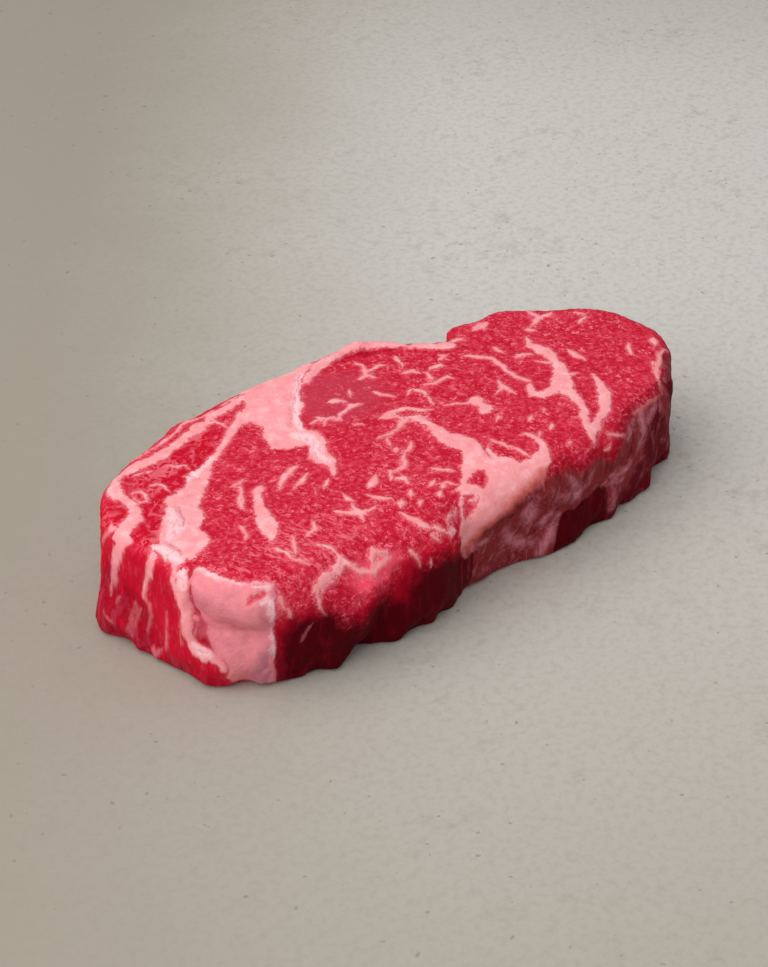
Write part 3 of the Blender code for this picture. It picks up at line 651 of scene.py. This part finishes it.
def nearest(points, strokes, areas=()):
    """Signed distance from the nearest of several strokes and areas."""
    best = np.full(len(points), FAR)
    for stroke in strokes:
        best = np.minimum(best, stroke_offset(points, stroke)[2])
    for corners in areas:
        best = np.minimum(best, area_distance(points, corners))
    return best


def outside(share):
    """What to add to a distance: nothing where a mark's share is 1, FAR where it is 0."""
    return FAR * (1 - share) ** 2


def patch(points, where, start, end):
    """0 at start and 1 at end, both as shares of the patch's reach from its middle."""
    (x, y), (reach_x, reach_y) = where
    away = np.hypot((points[:, 0] - x) / reach_x, (points[:, 1] - y) / reach_y)
    return ramp(away, start, end)


def bumps(points, wave, seed, octaves=2):
    """Smooth unevenness from -1 to 1 about, at the given points."""
    shift = Vector([seed * step for step in SEED_STEPS])
    total = np.zeros(len(points))
    for octave in range(octaves):
        scale = 2 ** octave / wave
        total += np.array([
            noise.noise(Vector(p) * scale + shift) for p in points.tolist()
        ]) / 2 ** octave
    return total


# ---- The mesh ----------------------------------------------------------------------------


def only(obj):
    """Selects obj alone and makes it active."""
    bpy.ops.object.select_all(action="DESELECT")
    obj.select_set(True)
    bpy.context.view_layer.objects.active = obj


def meat_blank():
    """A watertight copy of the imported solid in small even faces."""
    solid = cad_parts["steak"]
    meat = bpy.data.objects.new("raw_steak", solid.data.copy())
    bpy.context.scene.collection.objects.link(meat)
    only(meat)
    bpy.ops.object.mode_set(mode="EDIT")
    bpy.ops.mesh.select_all(action="SELECT")
    bpy.ops.mesh.remove_doubles(threshold=WELD * MM)
    bpy.ops.mesh.normals_make_consistent(inside=False)
    bpy.ops.object.mode_set(mode="OBJECT")
    remesh = meat.modifiers.new("even_faces", "REMESH")
    remesh.mode = "VOXEL"
    remesh.voxel_size = VOXEL * MM
    remesh.use_smooth_shade = True
    bpy.ops.object.modifier_apply(modifier=remesh.name)
    smooth = meat.modifiers.new("no_steps", "SMOOTH")
    smooth.factor = 0.5
    smooth.iterations = SMOOTHING
    bpy.ops.object.modifier_apply(modifier=smooth.name)
    return meat


def read(collection, what):
    """One vector of every item of a mesh, as rows of numbers."""
    values = np.empty(len(collection) * 3, np.float32)
    collection.foreach_get(what, values)
    return values.reshape(-1, 3).astype(float)


class Skin:
    """The points of the meat's surface, in millimetres, and which marks reach each of them."""

    def __init__(self, obj):
        mesh = obj.data
        self.obj = obj
        self.points = read(mesh.vertices, "co") / MM
        self.normals = read(mesh.vertex_normals, "vector")
        self.count = len(self.points)
        x, y, z = self.points.T
        nx, ny, nz = self.normals.T
        self.plan = self.points[:, :2]
        self.height = z
        # Marks on the upper face run on over its shoulders, furthest on the far side
        far_shoulder = ramp(ny, 0.05, 0.35) * ramp(z, 23, 28)
        self.upper = np.maximum(ramp(nz, 0.12, 0.5) * ramp(z, 12, 20), far_shoulder)
        self.lower = ramp(nz, -0.3, -0.7)
        self.upright = ramp(np.abs(nz), 0.8, 0.4)
        # A knife-cut line of fat is never quite straight
        sway = np.stack([bumps(self.points, SWAY_WAVE, 7), bumps(self.points, SWAY_WAVE, 8)], 1)
        self.swayed = self.plan + sway * SWAY
        # On the way down a seam drifts from its place in the upper face
        depth = ramp(z, 31, 0)[:, None]
        drift = np.stack([bumps(self.points, SEAM_WAVE, 1), bumps(self.points, SEAM_WAVE, 2)], 1)
        self.drifted = self.plan + drift * SEAM_DRIFT * depth
        # For each wall, every point's place on its plane and how far its marks hold there
        self.on_wall = {}
        self.drawn = np.zeros(self.count)
        for name, (start, end) in WALLS.items():
            start, end = np.array(start), np.array(end)
            length = float(np.hypot(*(end - start)))
            along = (end - start) / length
            outward = np.array([along[1], -along[0]])
            t = (self.plan - start) @ along
            off = (self.plan - start) @ outward
            facing = (self.normals[:, :2] @ outward) / np.maximum(np.hypot(nx, ny), 0.05)
            past = np.maximum(-t, t - length)
            weight = ramp(facing, 0.15, 0.45) * ramp(np.abs(off), *WALL_REACH)
            weight *= ramp(past, *WALL_OVERRUN) * ramp(nz, 0.93, 0.8)
            self.on_wall[name] = (np.stack([t, z], 1), weight)
            self.drawn = np.maximum(self.drawn, weight)

    def plan_distance(self, strokes, areas=()):
        """Distance from marks on the upper face, as far down its shoulders as they reach."""
        return nearest(self.swayed, strokes, areas) + outside(self.upper)

    def seam_distance(self, strokes, areas=()):
        """Distance from seams that run down through the meat, away from the drawn walls."""
        reach = np.clip(self.drawn + ramp(self.upper, 0.7, 1), 0, 1) * (1 - self.lower)
        return nearest(self.drifted, strokes, areas) + FAR * reach ** 2

    def wall_distance(self, strokes, areas=None):
        """Distance from marks that are given on the walls."""
        best = np.full(self.count, FAR)
        for name, (place, weight) in self.on_wall.items():
            lines = list(strokes.get(name, {}).values())
            shapes = list((areas or {}).get(name, {}).values())
            if lines or shapes:
                best = np.minimum(best, nearest(place, lines, shapes) + outside(weight))
        return best

    def thin_lines(self):
        """Offset, half-width and gap of the nearest thin line, on the face and the walls."""
        offset, half, gap = (np.full(self.count, value) for value in (FAR, 0.5, FAR))
        sets = [(self.swayed, self.upper, THIN_FAT.values())]
        for name, (place, weight) in self.on_wall.items():
            sets.append((place, weight, WALL_THIN_FAT.get(name, {}).values()))
        for place, weight, strokes in sets:
            for stroke in strokes:
                across, width, away = stroke_offset(place, stroke)
                away = away + outside(weight)
                nearer = away < gap
                gap = np.where(nearer, away, gap)
                offset = np.where(nearer, across, offset)
                half = np.where(nearer, width, half)
        return np.clip(offset, -NEAR, NEAR), half, np.clip(gap, -NEAR, NEAR)

    def keep(self, name, values):
        """Stores one number a point on the mesh, for the material."""
        layer = self.obj.data.attributes.new(name, "FLOAT", "POINT")
        layer.data.foreach_set("value", np.asarray(values, np.float32))

    def move(self, distance):
        """Moves every point along its normal, but keeps the lower cut face flat."""
        hold = ramp(self.height, 0, FLAT_BELOW) * (1 - self.lower)
        self.points += self.normals * (distance * hold)[:, None]

    def write(self):
        """Puts the points back into the mesh, none of them below the board."""
        self.points[:, 2] = np.maximum(self.points[:, 2], 0)
        self.obj.data.vertices.foreach_set("co", (self.points * MM).astype(np.float32).ravel())
        self.obj.data.update()


def mark_meat(skin):
    """Works out how far each point is from fat, sinew, skin and creases, and keeps it."""
    nx, ny = skin.normals[:, 0], skin.normals[:, 1]
    red = nearest(skin.swayed, [], RED_AREAS.values()) + FAR * ramp(skin.height, 26, 20)
    red = np.minimum(red, skin.wall_distance({}, WALL_RED_AREAS))
    fat = skin.plan_distance(BROAD_FAT.values(), FAT_AREAS.values())
    fat = np.minimum(fat, skin.wall_distance(WALL_BROAD_FAT, WALL_FAT_AREAS))
    fat = np.maximum(fat, -red)
    through = [BROAD_FAT[name] for name in THROUGH_SEAMS]
    areas = [FAT_AREAS[name] for name in THROUGH_AREAS]
    fat = np.minimum(fat, skin.seam_distance(through, areas))
    sinew = np.minimum(skin.plan_distance(SINEW.values()), skin.wall_distance(WALL_SINEW))
    crease = np.minimum(skin.plan_distance(CREASES.values()), skin.wall_distance(WALL_CREASES))

    # Where no mark says how dark a wall is, a wall turned from the light is painted dark up to an uneven
    # height: painted shade on drier lean
    uneven = bumps(skin.points * (1, 1, 0.3), SEAM_WAVE, 6)
    level = (DARK_HEIGHT + DARK_UNEVEN * uneven) * ramp(-nx, 0.7, 0.1)
    marked = skin.drawn - skin.on_wall["near_right"][1]
    rest = skin.height - level + FAR * ramp(marked, 0.1, 0.5) + outside(skin.upright)

    distances = {
        "fat": fat,
        "sinew": sinew,
        "crease": crease,
        "membrane": skin.wall_distance({}, SKIN_AREAS),
        "bare": skin.wall_distance({}, BARE_AREAS),
        "pale": skin.wall_distance(PALE_SKIN),
        "deep": skin.wall_distance({}, DEEP_AREAS),
        "shade": skin.wall_distance(WALL_SHADE),
        "bruise": skin.wall_distance(BRUISE),
        "dark": np.minimum(skin.wall_distance({}, DARK_AREAS), rest),
    }
    for name, distance in distances.items():
        skin.keep(name + "_distance", np.clip(distance, -NEAR, NEAR))
    offset, half, gap = skin.thin_lines()
    skin.keep("line_offset", offset)
    skin.keep("line_half", half)
    skin.keep("line_gap", gap)

    at_end = np.maximum(ramp(-nx, 0.25, 0.65), ramp(ny, 0.1, 0.5))
    dulled = ramp(skin.wall_distance({}, DULL_AREAS), 2.5, -2.5)
    strip = ramp(nearest(skin.plan, [STRIP_LINE]), 3, -1)
    shares = {
        "upright": skin.upright,
        "at_end": skin.upright * at_end,
        "lobe": ramp(skin.wall_distance({}, LOBE_AREAS), 1.5, -1.0),
        # Where the walls turn darker and duller lower down
        "dark_foot": np.maximum(dulled, ramp(skin.height, 9, 1) * ramp(-nx, 0.4, 0.8) * 0.8),
        # Painted half-shade on the shoulders turned from the light
        "crimson_half_shade": ramp(skin.wall_distance({}, CRIMSON_AREAS), 1.6, -1.4),
        # Painted light on the shoulder that catches the light
        "painted_light": ramp(skin.wall_distance({}, LIT_AREAS), 2.0, -1.5),
        "dull_lean": patch(skin.plan, DULL_PATCH, 1.1, 0.5) * skin.upper,
        "combed": patch(skin.plan, COMBED_PATCH, 1.05, 0.6) * skin.upper,
        "bright_lean": np.maximum(patch(skin.plan, BRIGHT_PATCH, 1.2, 0.5), strip) * skin.upper,
    }
    for name, share in shares.items():
        skin.keep(name, share)
    skin.fat, skin.crease = np.minimum(fat, gap), crease


def shape_meat(skin):
    """Low relief: fat stands proud, creases sink, the lean is grainy, the wall is ragged."""
    fat = ramp(skin.fat, 0.5, -0.5)
    skin.move(fat * FAT_STANDS)
    skin.move(-CREASE_DEPTH * ramp(skin.crease, 0.9, -0.3))
    skin.move(bumps(skin.points, GRAIN_WAVE, 3) * GRAIN_RISE * (1 - 0.7 * fat))
    ragged = bumps(skin.points * (1, 1, 0.55), RAGGED_WAVE, 4)
    foot = ramp(skin.height, FOOT_HEIGHT, 2)
    skin.move(ragged * skin.upright * (RAGGED_RISE + foot * FOOT_RISE))
    for (x, y), inward, beside, distance, fade in FOOT_PUSHES:
        inward = np.array(inward) / math.hypot(*inward)
        rel = skin.points[:, :2] - (x, y)
        share = ramp(np.abs(rel @ (-inward[1], inward[0])) / beside, 1.1, 0.1)
        share *= ramp(rel @ inward, PUSH_REACH, 0) * ramp(skin.height, fade, 0)
        skin.points[:, :2] += share[:, None] * inward * distance


# ---- Materials ---------------------------------------------------------------------------

# Sockets of nodes that are told apart by their numbers
MIX_FIRST, MIX_SECOND = 6, 7    # the two colours that go into a Mix node
MIX_COLOUR = 2                  # and the colour that comes out
ATTRIBUTE_NUMBER = 2            # an attribute as one number
OBJECT_PLACE = 3                # texture coordinates of the object itself
DOT_NUMBER = 1                  # the number that a dot product gives


def linear(red, green, blue):
    """A colour that is given as 0 to 255 on a screen."""
    def one(c):
        c /= 255
        return c / 12.92 if c <= 0.04045 else ((c + 0.055) / 1.055) ** 2.4
    return (one(red), one(green), one(blue), 1)


class Wire:
    """One output in a shader. Arithmetic on it adds Math nodes."""

    def __init__(self, shader, socket):
        self.shader = shader
        self.socket = socket

    def __add__(self, other):
        return self.shader.math("ADD", self, other)

    def __sub__(self, other):
        return self.shader.math("SUBTRACT", self, other)

    def __mul__(self, other):
        return self.shader.math("MULTIPLY", self, other)

    def __rsub__(self, other):
        return self.shader.math("SUBTRACT", other, self)

    __radd__ = __add__
    __rmul__ = __mul__

    def low(self, other):
        """The smaller of two."""
        return self.shader.math("MINIMUM", self, other)

    def high(self, other):
        """The larger of two."""
        return self.shader.math("MAXIMUM", self, other)

    def size(self):
        """Its distance from nought."""
        return self.shader.math("ABSOLUTE", self)


class Shader:
    """A material that is built up node by node."""

    def __init__(self, name):
        self.material = bpy.data.materials.new(name)
        self.material.use_nodes = True
        self.tree = self.material.node_tree
        self.surface = self.tree.nodes["Principled BSDF"]

    def node(self, kind, settings, values, output=0):
        """Adds a node, sets it, then gives its sockets values or links."""
        made = self.tree.nodes.new(kind)
        for name, value in settings.items():
            setattr(made, name, value)
        for key, value in values.items():
            self.feed(made.inputs[key], value)
        return Wire(self, made.outputs[output])

    def feed(self, socket, value):
        """Gives a socket a link or a value."""
        if isinstance(value, Wire):
            self.tree.links.new(value.socket, socket)
        else:
            socket.default_value = value

    def math(self, operation, *values):
        return self.node("ShaderNodeMath", {"operation": operation}, dict(enumerate(values)))

    def step(self, value, start, end):
        """0 at start and 1 at end, smooth between."""
        return self.node(
            "ShaderNodeMapRange", {"interpolation_type": "SMOOTHSTEP"},
            {0: value, 1: start, 2: end, 3: 0.0, 4: 1.0},
        )

    def blend(self, share, first, second):
        """A number between two, from the first at 0 to the second at 1."""
        return first + (second - first) * share

    def mix(self, share, first, second):
        """A colour between two, from the first at 0 to the second at 1."""
        return self.node(
            "ShaderNodeMix", {"data_type": "RGBA"},
            {0: share, MIX_FIRST: first, MIX_SECOND: second}, MIX_COLOUR,
        )

    def stored(self, name):
        """A number that is kept on the mesh."""
        return self.node("ShaderNodeAttribute", {"attribute_name": name}, {}, ATTRIBUTE_NUMBER)

    def place(self, stretch=(1, 1, 1), turn=0.0):
        """Object coordinates in millimetres, turned about Z and drawn out along the axes."""
        spot = self.node("ShaderNodeTexCoord", {}, {}, OBJECT_PLACE)
        turned = self.node(
            "ShaderNodeVectorRotate", {"rotation_type": "Z_AXIS"}, {"Vector": spot, "Angle": turn}
        )
        scale = tuple(1 / MM / s for s in stretch)
        return self.node(
            "ShaderNodeVectorMath", {"operation": "MULTIPLY"}, {0: turned, 1: scale}
        )

    def along(self, place, way):
        """How far a place lies that way, in millimetres."""
        return self.node(
            "ShaderNodeVectorMath", {"operation": "DOT_PRODUCT"}, {0: place, 1: way}, DOT_NUMBER
        )

    def cloud(self, place, wave, detail=2.0, roughness=0.5, distortion=0.0):
        """Noise from 0 to 1 whose bumps are about wave millimetres apart."""
        return self.node("ShaderNodeTexNoise", {}, {
            "Vector": place, "Scale": 1 / wave, "Detail": detail, "Roughness": roughness,
            "Distortion": distortion,
        })

    def finish(self, colour, roughness, height, rise):
        """Links the surface: colour, roughness, and a height in millimetres as relief."""
        self.feed(self.surface.inputs["Base Color"], colour)
        self.feed(self.surface.inputs["Roughness"], roughness)
        if height is not None:
            relief = self.node(
                "ShaderNodeBump", {}, {"Height": height, "Strength": 1.0, "Distance": rise * MM}
            )
            self.feed(self.surface.inputs["Normal"], relief)
        return self.material


LEAN = linear(205, 42, 66)
LEAN_DEEP = linear(190, 20, 47)
LEAN_LIGHT = linear(219, 68, 90)
LEAN_DULL = linear(190, 62, 82)
# Painted light, on the shoulder that catches the light
LEAN_PAINTED_LIGHT = linear(255, 82, 108)
LEAN_CRIMSON = linear(198, 12, 42)
LEAN_SHADED = linear(150, 4, 30)
MARBLE = linear(245, 130, 143)
FAT = linear(247, 158, 162)
FAT_WHITE = linear(252, 180, 184)
FAT_PINK = linear(238, 140, 147)
FAT_LOBE = linear(222, 128, 141)
SINEW_WHITE = linear(253, 206, 211)
SINEW_PINK = linear(243, 168, 176)
# Painted shade in the creases
CREASE_SHADE_RED = linear(166, 8, 40)
CREASE_SHADE_PINK = linear(214, 116, 130)
# Painted shade: the lean on walls turned from the light, almost black, and its faint streaks
SHADED_DRY_LEAN = linear(80, 3, 14)
SHADED_DRY_STREAK = linear(128, 12, 32)
DULL_PINK = linear(184, 62, 84)
DEEP_SKIN = linear(98, 7, 24)
# Painted half-shade: fat turning orange-brown as it rolls down into the shade
FAT_HALF_SHADE = linear(204, 84, 72)
MEMBRANE = linear(132, 42, 46)
MEMBRANE_PALE = linear(204, 122, 138)
BRUISE_GREY = linear(164, 100, 118)
WAIST = linear(204, 96, 112)

# Which way the streaks run: the grain of the lean, its combed corner, and torn sinew
GRAIN_TURN = math.radians(-35)
COMB_TURN = math.radians(-18)
TEAR_TURN = math.radians(42)


def meat_material():
    """Moist lean with fine marbling, fat, sinew, membrane and creases."""
    s = Shader("raw_meat")
    here = s.place()
    along = s.place((1.0, 1.25, 1.0), GRAIN_TURN)
    hanging = s.place((1.0, 1.0, 3.6))
    upright = s.stored("upright")
    lobe = s.stored("lobe")
    drawn_down = s.stored("at_end") * (1.0 - lobe)
    wobble = s.blend(drawn_down, s.cloud(here, 2.0, 2.0), s.cloud(hanging, 1.8, 2.0)) - 0.5
    flutter = s.blend(drawn_down, s.cloud(here, 0.75, 2.0, 0.6), s.cloud(hanging, 0.8, 2.0)) - 0.5
    ragged = (wobble * 1.5 + flutter * 1.6) * (1.0 - lobe * 0.6)

    offset = s.stored("line_offset").size()
    gap = s.stored("line_gap")
    half = s.stored("line_half")
    line = (offset - half * 0.8).high(gap - 0.4) + flutter * 0.8
    softness = 1.0 - drawn_down * 0.5
    broad_fat = (s.stored("fat_distance") + ragged) * softness
    line_fat = (line + wobble * 0.9 + flutter * 0.4) * softness
    line_share = s.step(line_fat, 0.36, -0.42) * (0.92 - drawn_down * 0.4)
    fat = s.step(broad_fat, 0.28, -0.34).high(line_share)
    fat_distance = broad_fat.low(line_fat)

    # Lean: a mottle of grain, then fine marbling that comes and goes
    broad = s.cloud(here, 4.5, 2.0)
    grain_face = s.cloud(along, 1.15, 3.0, 0.62, 0.4)
    grain_wall = s.cloud(hanging, 1.2, 3.0, 0.62, 0.3)
    grain = s.blend(drawn_down, grain_face, grain_wall) + (broad - 0.5) * 0.3
    fine = s.cloud(along, 0.6, 2.0, 0.6)
    lean = s.mix(s.step(grain, 0.56, 0.34), LEAN, LEAN_DEEP)
    lean = s.mix(s.step(grain, 0.48, 0.7) * (1.0 - drawn_down * 0.7), lean, LEAN_LIGHT)
    crimson = s.stored("bright_lean")
    lean = s.mix(crimson * s.step(grain, 0.76, 0.5), lean, LEAN_CRIMSON)
    dull = s.stored("dull_lean")
    lean = s.mix(dull * 0.6, lean, LEAN_DULL)
    patches = s.cloud(here, 6.0, 2.0, 0.5)
    plenty = (patches - 0.5) * 0.26 - crimson * 0.03 - drawn_down * 0.12 - dull * 0.05
    specks = s.cloud(along, 1.15, 1.0, 0.5, 1.2) + plenty
    marble = s.step(specks, 0.63, 0.73) * 0.7
    dots = s.step(s.cloud(along, 0.8, 1.0, 0.5, 0.6) + plenty * 0.6, 0.65, 0.74) * 0.42
    curl = (s.cloud(along, 2.3, 1.0, 0.5, 1.6) - 0.5).size()
    curls = s.step(curl, 0.06, 0.015) * s.step(s.cloud(here, 2.7, 1.0) + plenty, 0.56, 0.66) * 0.5
    lumps = (s.cloud(here, 4.2, 1.5, 0.5, 0.8) - 0.5).size()
    curls = curls.high(s.step(lumps, 0.09, 0.02) * crimson * s.step(patches, 0.38, 0.56) * 0.5)
    arcs = s.cloud(s.place((1.0, 4.5, 1.0), COMB_TURN), 1.15, 2.0, 0.6, 0.7)
    combed = s.step(arcs, 0.52, 0.66) * s.stored("combed") * 0.55
    # Painted light: the shoulder that catches the light is painted brighter
    lean = s.mix(s.stored("painted_light") * s.step(grain, 0.2, 0.5) * 0.9, lean, LEAN_PAINTED_LIGHT)
    lean = s.mix(marble.high(curls).high(dots).high(combed), lean, MARBLE)
    # Painted half-shade: deeper crimson where the shoulder turns from the light
    bay = s.stored("crimson_half_shade")
    lean = s.mix(bay * s.step(grain, 0.95, 0.4) * 0.85, lean, LEAN_CRIMSON)
    halo = s.step(fat_distance, 1.0, 0.1) * (0.35 - drawn_down * 0.2)
    lean = s.mix(halo, lean, MARBLE)
    lean = s.mix(drawn_down * s.step(grain, 0.8, 0.5) * 0.85, lean, LEAN_CRIMSON)

    # Fat: pale, faintly mottled, whiter and torn where there is sinew
    veil = s.cloud(here, 3.2, 3.0, 0.6)
    white = s.mix(s.step(veil, 0.46, 0.7), FAT, FAT_WHITE)
    white = s.mix(s.step(veil, 0.46, 0.28) * 0.7, white, FAT_PINK)
    white = s.mix(s.step(fine, 0.56, 0.74) * 0.35, white, FAT_PINK)
    torn = s.cloud(s.place((1.0, 2.2, 1.0), TEAR_TURN), 1.5, 3.0, 0.6, 0.8)
    sinew = s.step(s.stored("sinew_distance") + wobble * 1.8 + (torn - 0.5) * 1.6, 0.7, -0.7)
    white = s.mix(upright * 0.4, white, FAT_PINK)
    smooth_lobe = s.mix(s.step(veil, 0.3, 0.66), FAT_LOBE, FAT_PINK)
    white = s.mix(lobe, white, smooth_lobe)
    white = s.mix(sinew * 0.85, white, s.mix(s.step(torn, 0.34, 0.52), SINEW_PINK, SINEW_WHITE))

    # The side turned from the light: dark dry lean in painted shade, and the grey skin over it
    skin_distance = s.stored("membrane_distance") + wobble * 1.8 + flutter * 0.8
    cloudy = s.cloud(here, 3.4, 3.0) - 0.5
    dark_distance = s.stored("dark_distance") + cloudy * 5.0
    shaded = s.step(dark_distance.low(skin_distance), 5.0, 0.4)
    hung = s.cloud(hanging, 2.4, 3.0, 0.6, 0.4)
    lean = s.mix(shaded * s.step(grain, 0.8, 0.44) * 0.85, lean, LEAN_SHADED)
    # Lower down, the walls that face the blunt end are darker and duller
    foot = s.stored("dark_foot")
    lean = s.mix(foot * s.step(hung, 0.28, 0.5) * 0.75, lean, LEAN_SHADED)
    lean = s.mix(foot * s.step(hung + fine * 0.2, 0.56, 0.74) * 0.5, lean, DULL_PINK)
    white = s.mix(foot * 0.4, white, DULL_PINK)
    # Painted shade: almost black lean, with faint streaks, where the wall is turned from the light
    shaded_dry = s.mix(s.step(hung, 0.48, 0.76) * 0.5, SHADED_DRY_LEAN, SHADED_DRY_STREAK)
    dark = s.step(dark_distance, 2.6, -3.2)
    lean = s.mix(dark, lean, shaded_dry)
    white = s.mix(dark * 0.7, white, MEMBRANE)

    drape = s.cloud(s.place((1.0, 1.0, 2.2)), 2.6, 4.0, 0.62, 0.6)
    pale = s.step(s.stored("pale_distance") + wobble * 4.0 + (drape - 0.5) * 5.0, 1.6, -2.0)
    film = s.mix(pale * 0.85 + s.step(drape, 0.5, 0.7) * 0.4, MEMBRANE, MEMBRANE_PALE)
    film = s.mix(s.step(drape, 0.46, 0.32) * 0.6, film, shaded_dry)
    film = s.mix(s.step(fine, 0.56, 0.74) * 0.2, film, MEMBRANE_PALE)
    film = s.mix(s.step(fine, 0.46, 0.3) * 0.4, film, SHADED_DRY_STREAK)
    membrane = s.step(skin_distance, 1.5, -1.9)
    bare = s.step(s.stored("bare_distance") + flutter * 1.8 + cloudy * 1.6, 0.4, -0.4)
    deep = s.step(s.stored("deep_distance") + cloudy * 3.0 + flutter, 1.6, -0.6)
    deep = deep * (0.95 - s.step(drape, 0.5, 0.72) * 0.5)
    film = s.mix(deep * (1.0 - pale * 0.5), film, DEEP_SKIN)
    film = s.mix(bare, film, shaded_dry)

    colour = s.mix(fat, lean, white)
    bruise = s.step(s.stored("bruise_distance") + wobble * 3.0, 1.6, -1.6)
    colour = s.mix(bruise * s.step(veil, 0.3, 0.56) * 0.8, colour, BRUISE_GREY)
    waist = s.step(s.stored("shade_distance") + wobble, 1.8, -1.2)
    colour = s.mix(waist * 0.5, colour, WAIST)
    # Painted half-shade: the fat turns orange-brown where it rolls down into the shade over the skin
    fat_half_shade = s.step(skin_distance + cloudy * 1.5, 3.0, 0.2)
    colour = s.mix(fat_half_shade * fat * 0.75, colour, FAT_HALF_SHADE)
    colour = s.mix(membrane, colour, film)
    # Painted shade in the creases: they are coloured darker
    crease = s.step(s.stored("crease_distance") + flutter * 0.8, 0.14, -0.34)
    crease_shade = s.mix(dark.high(membrane), CREASE_SHADE_RED, SHADED_DRY_LEAN)
    colour = s.mix(crease * 0.75, colour, s.mix(fat, crease_shade, CREASE_SHADE_PINK))

    roughness = 0.52 - fat * 0.05 + (fine - 0.5) * 0.2
    height = grain * 0.4 + fine * 0.16 + fat * 0.22 + sinew * torn * 0.3 + drape * membrane * 0.9
    s.surface.inputs["Specular IOR Level"].default_value = 0.02
    moist = s.step(fine, 0.5, 0.66) * (1.0 - dark) * (1.0 - membrane)
    s.feed(s.surface.inputs["Coat Weight"], moist * 0.1)
    s.surface.inputs["Coat Roughness"].default_value = 0.25
    return s.finish(colour, roughness, height, 0.5)


STONE = linear(203, 199, 193)
STONE_DARK = linear(157, 148, 134)
STONE_SPECK = linear(150, 142, 129)
STONE_PIT = linear(120, 112, 98)
FLOOR_RIGHT = (0.731, -0.682, 0)    # across the floor, as the camera sees it
FLOOR_AWAY = (0.68, 0.73, 0)        # and away from the camera


def floor_material():
    """Pale, faintly clouded stone, a little darker to the left, close by and far off."""
    s = Shader("pale_stone")
    here = s.place()
    cloudy = s.cloud(here, 60.0, 4.0, 0.6)
    fine = s.cloud(here, 2.2, 3.0, 0.65)
    across = s.along(here, FLOOR_RIGHT)
    away = s.along(here, FLOOR_AWAY)
    lit = s.step(across + (cloudy - 0.5) * 50.0, -115.0, 35.0)
    lit = lit * s.step(away, -340.0, 160.0) * (1.0 - s.step(away, 230.0, 420.0) * 0.5)
    colour = s.mix(lit, STONE_DARK, STONE)
    colour = s.mix(s.step(fine, 0.42, 0.7) * 0.26, colour, STONE_SPECK)
    stain = s.cloud(here, 7.0, 4.0, 0.7) + (cloudy - 0.5) * 0.5
    colour = s.mix(s.step(stain, 0.52, 0.76) * 0.32, colour, STONE_SPECK)
    pits = s.cloud(here, 2.6, 1.0) + (cloudy - 0.5) * 0.3
    colour = s.mix(s.step(pits, 0.72, 0.78) * 0.5, colour, STONE_PIT)
    return s.finish(colour, 0.85, None, 0)


# ---- The scene ---------------------------------------------------------------------------

LOOK_AT = Vector((-4.71, -0.08, 16)) * MM
CAMERA_AWAY = 650 * MM
CAMERA_AZIMUTH = math.radians(-43)
CAMERA_ELEVATION = math.radians(35)
FRAME_LONG_SIDE = 967    # pixels
FOCAL_PIXELS = 2449
SENSOR = 36.0


def towards(azimuth, elevation):
    """The direction of something seen at that azimuth and elevation."""
    return Vector((
        math.sin(azimuth) * math.cos(elevation),
        -math.cos(azimuth) * math.cos(elevation),
        math.sin(elevation),
    ))


def add_camera():
    """A long lens, at the height and side from which the steak is seen."""
    away = towards(CAMERA_AZIMUTH, CAMERA_ELEVATION)
    bpy.ops.object.camera_add(location=LOOK_AT + away * CAMERA_AWAY)
    camera = bpy.context.object
    camera.rotation_euler = (-away).to_track_quat("-Z", "Y").to_euler()
    camera.data.sensor_width = SENSOR
    camera.data.lens = FOCAL_PIXELS / FRAME_LONG_SIDE * SENSOR
    camera.data.clip_start = 0.01
    bpy.context.scene.camera = camera


def add_lamp(name, direction, away, size, watts):
    """A square soft light that shines on the steak."""
    direction = Vector(direction).normalized()
    bpy.ops.object.light_add(type="AREA", location=direction * away)
    lamp = bpy.context.object
    lamp.name = name
    lamp.rotation_euler = (-direction).to_track_quat("-Z", "Y").to_euler()
    lamp.data.shape = "SQUARE"
    lamp.data.size = size
    lamp.data.energy = watts


def add_floor():
    """The plain surface that the steak lies on."""
    bpy.ops.mesh.primitive_plane_add(size=6.0, location=(0, 0, 0))
    floor = bpy.context.object
    floor.name = "floor"
    floor.data.materials.append(floor_material())


def light_the_room(strength):
    """Even pale light from all sides."""
    world = bpy.data.worlds.new("room")
    world.use_nodes = True
    background = world.node_tree.nodes["Background"]
    background.inputs["Color"].default_value = (1, 1, 1, 1)
    background.inputs["Strength"].default_value = strength
    bpy.context.scene.world = world


def add_steak():
    """Makes the visible steak and lets it stand for its solid."""
    meat = meat_blank()
    skin = Skin(meat)
    mark_meat(skin)
    shape_meat(skin)
    skin.write()
    meat.data.materials.clear()
    meat.data.materials.append(meat_material())
    for polygon in meat.data.polygons:
        polygon.use_smooth = True
    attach(meat, "root")
    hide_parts("steak")


add_floor()
add_camera()
add_steak()
add_lamp("key", direction=(-0.64, 0.06, 0.77), away=1.2, size=1.6, watts=14.9)
light_the_room(strength=0.56)
bpy.context.scene.view_settings.view_transform = "Standard"
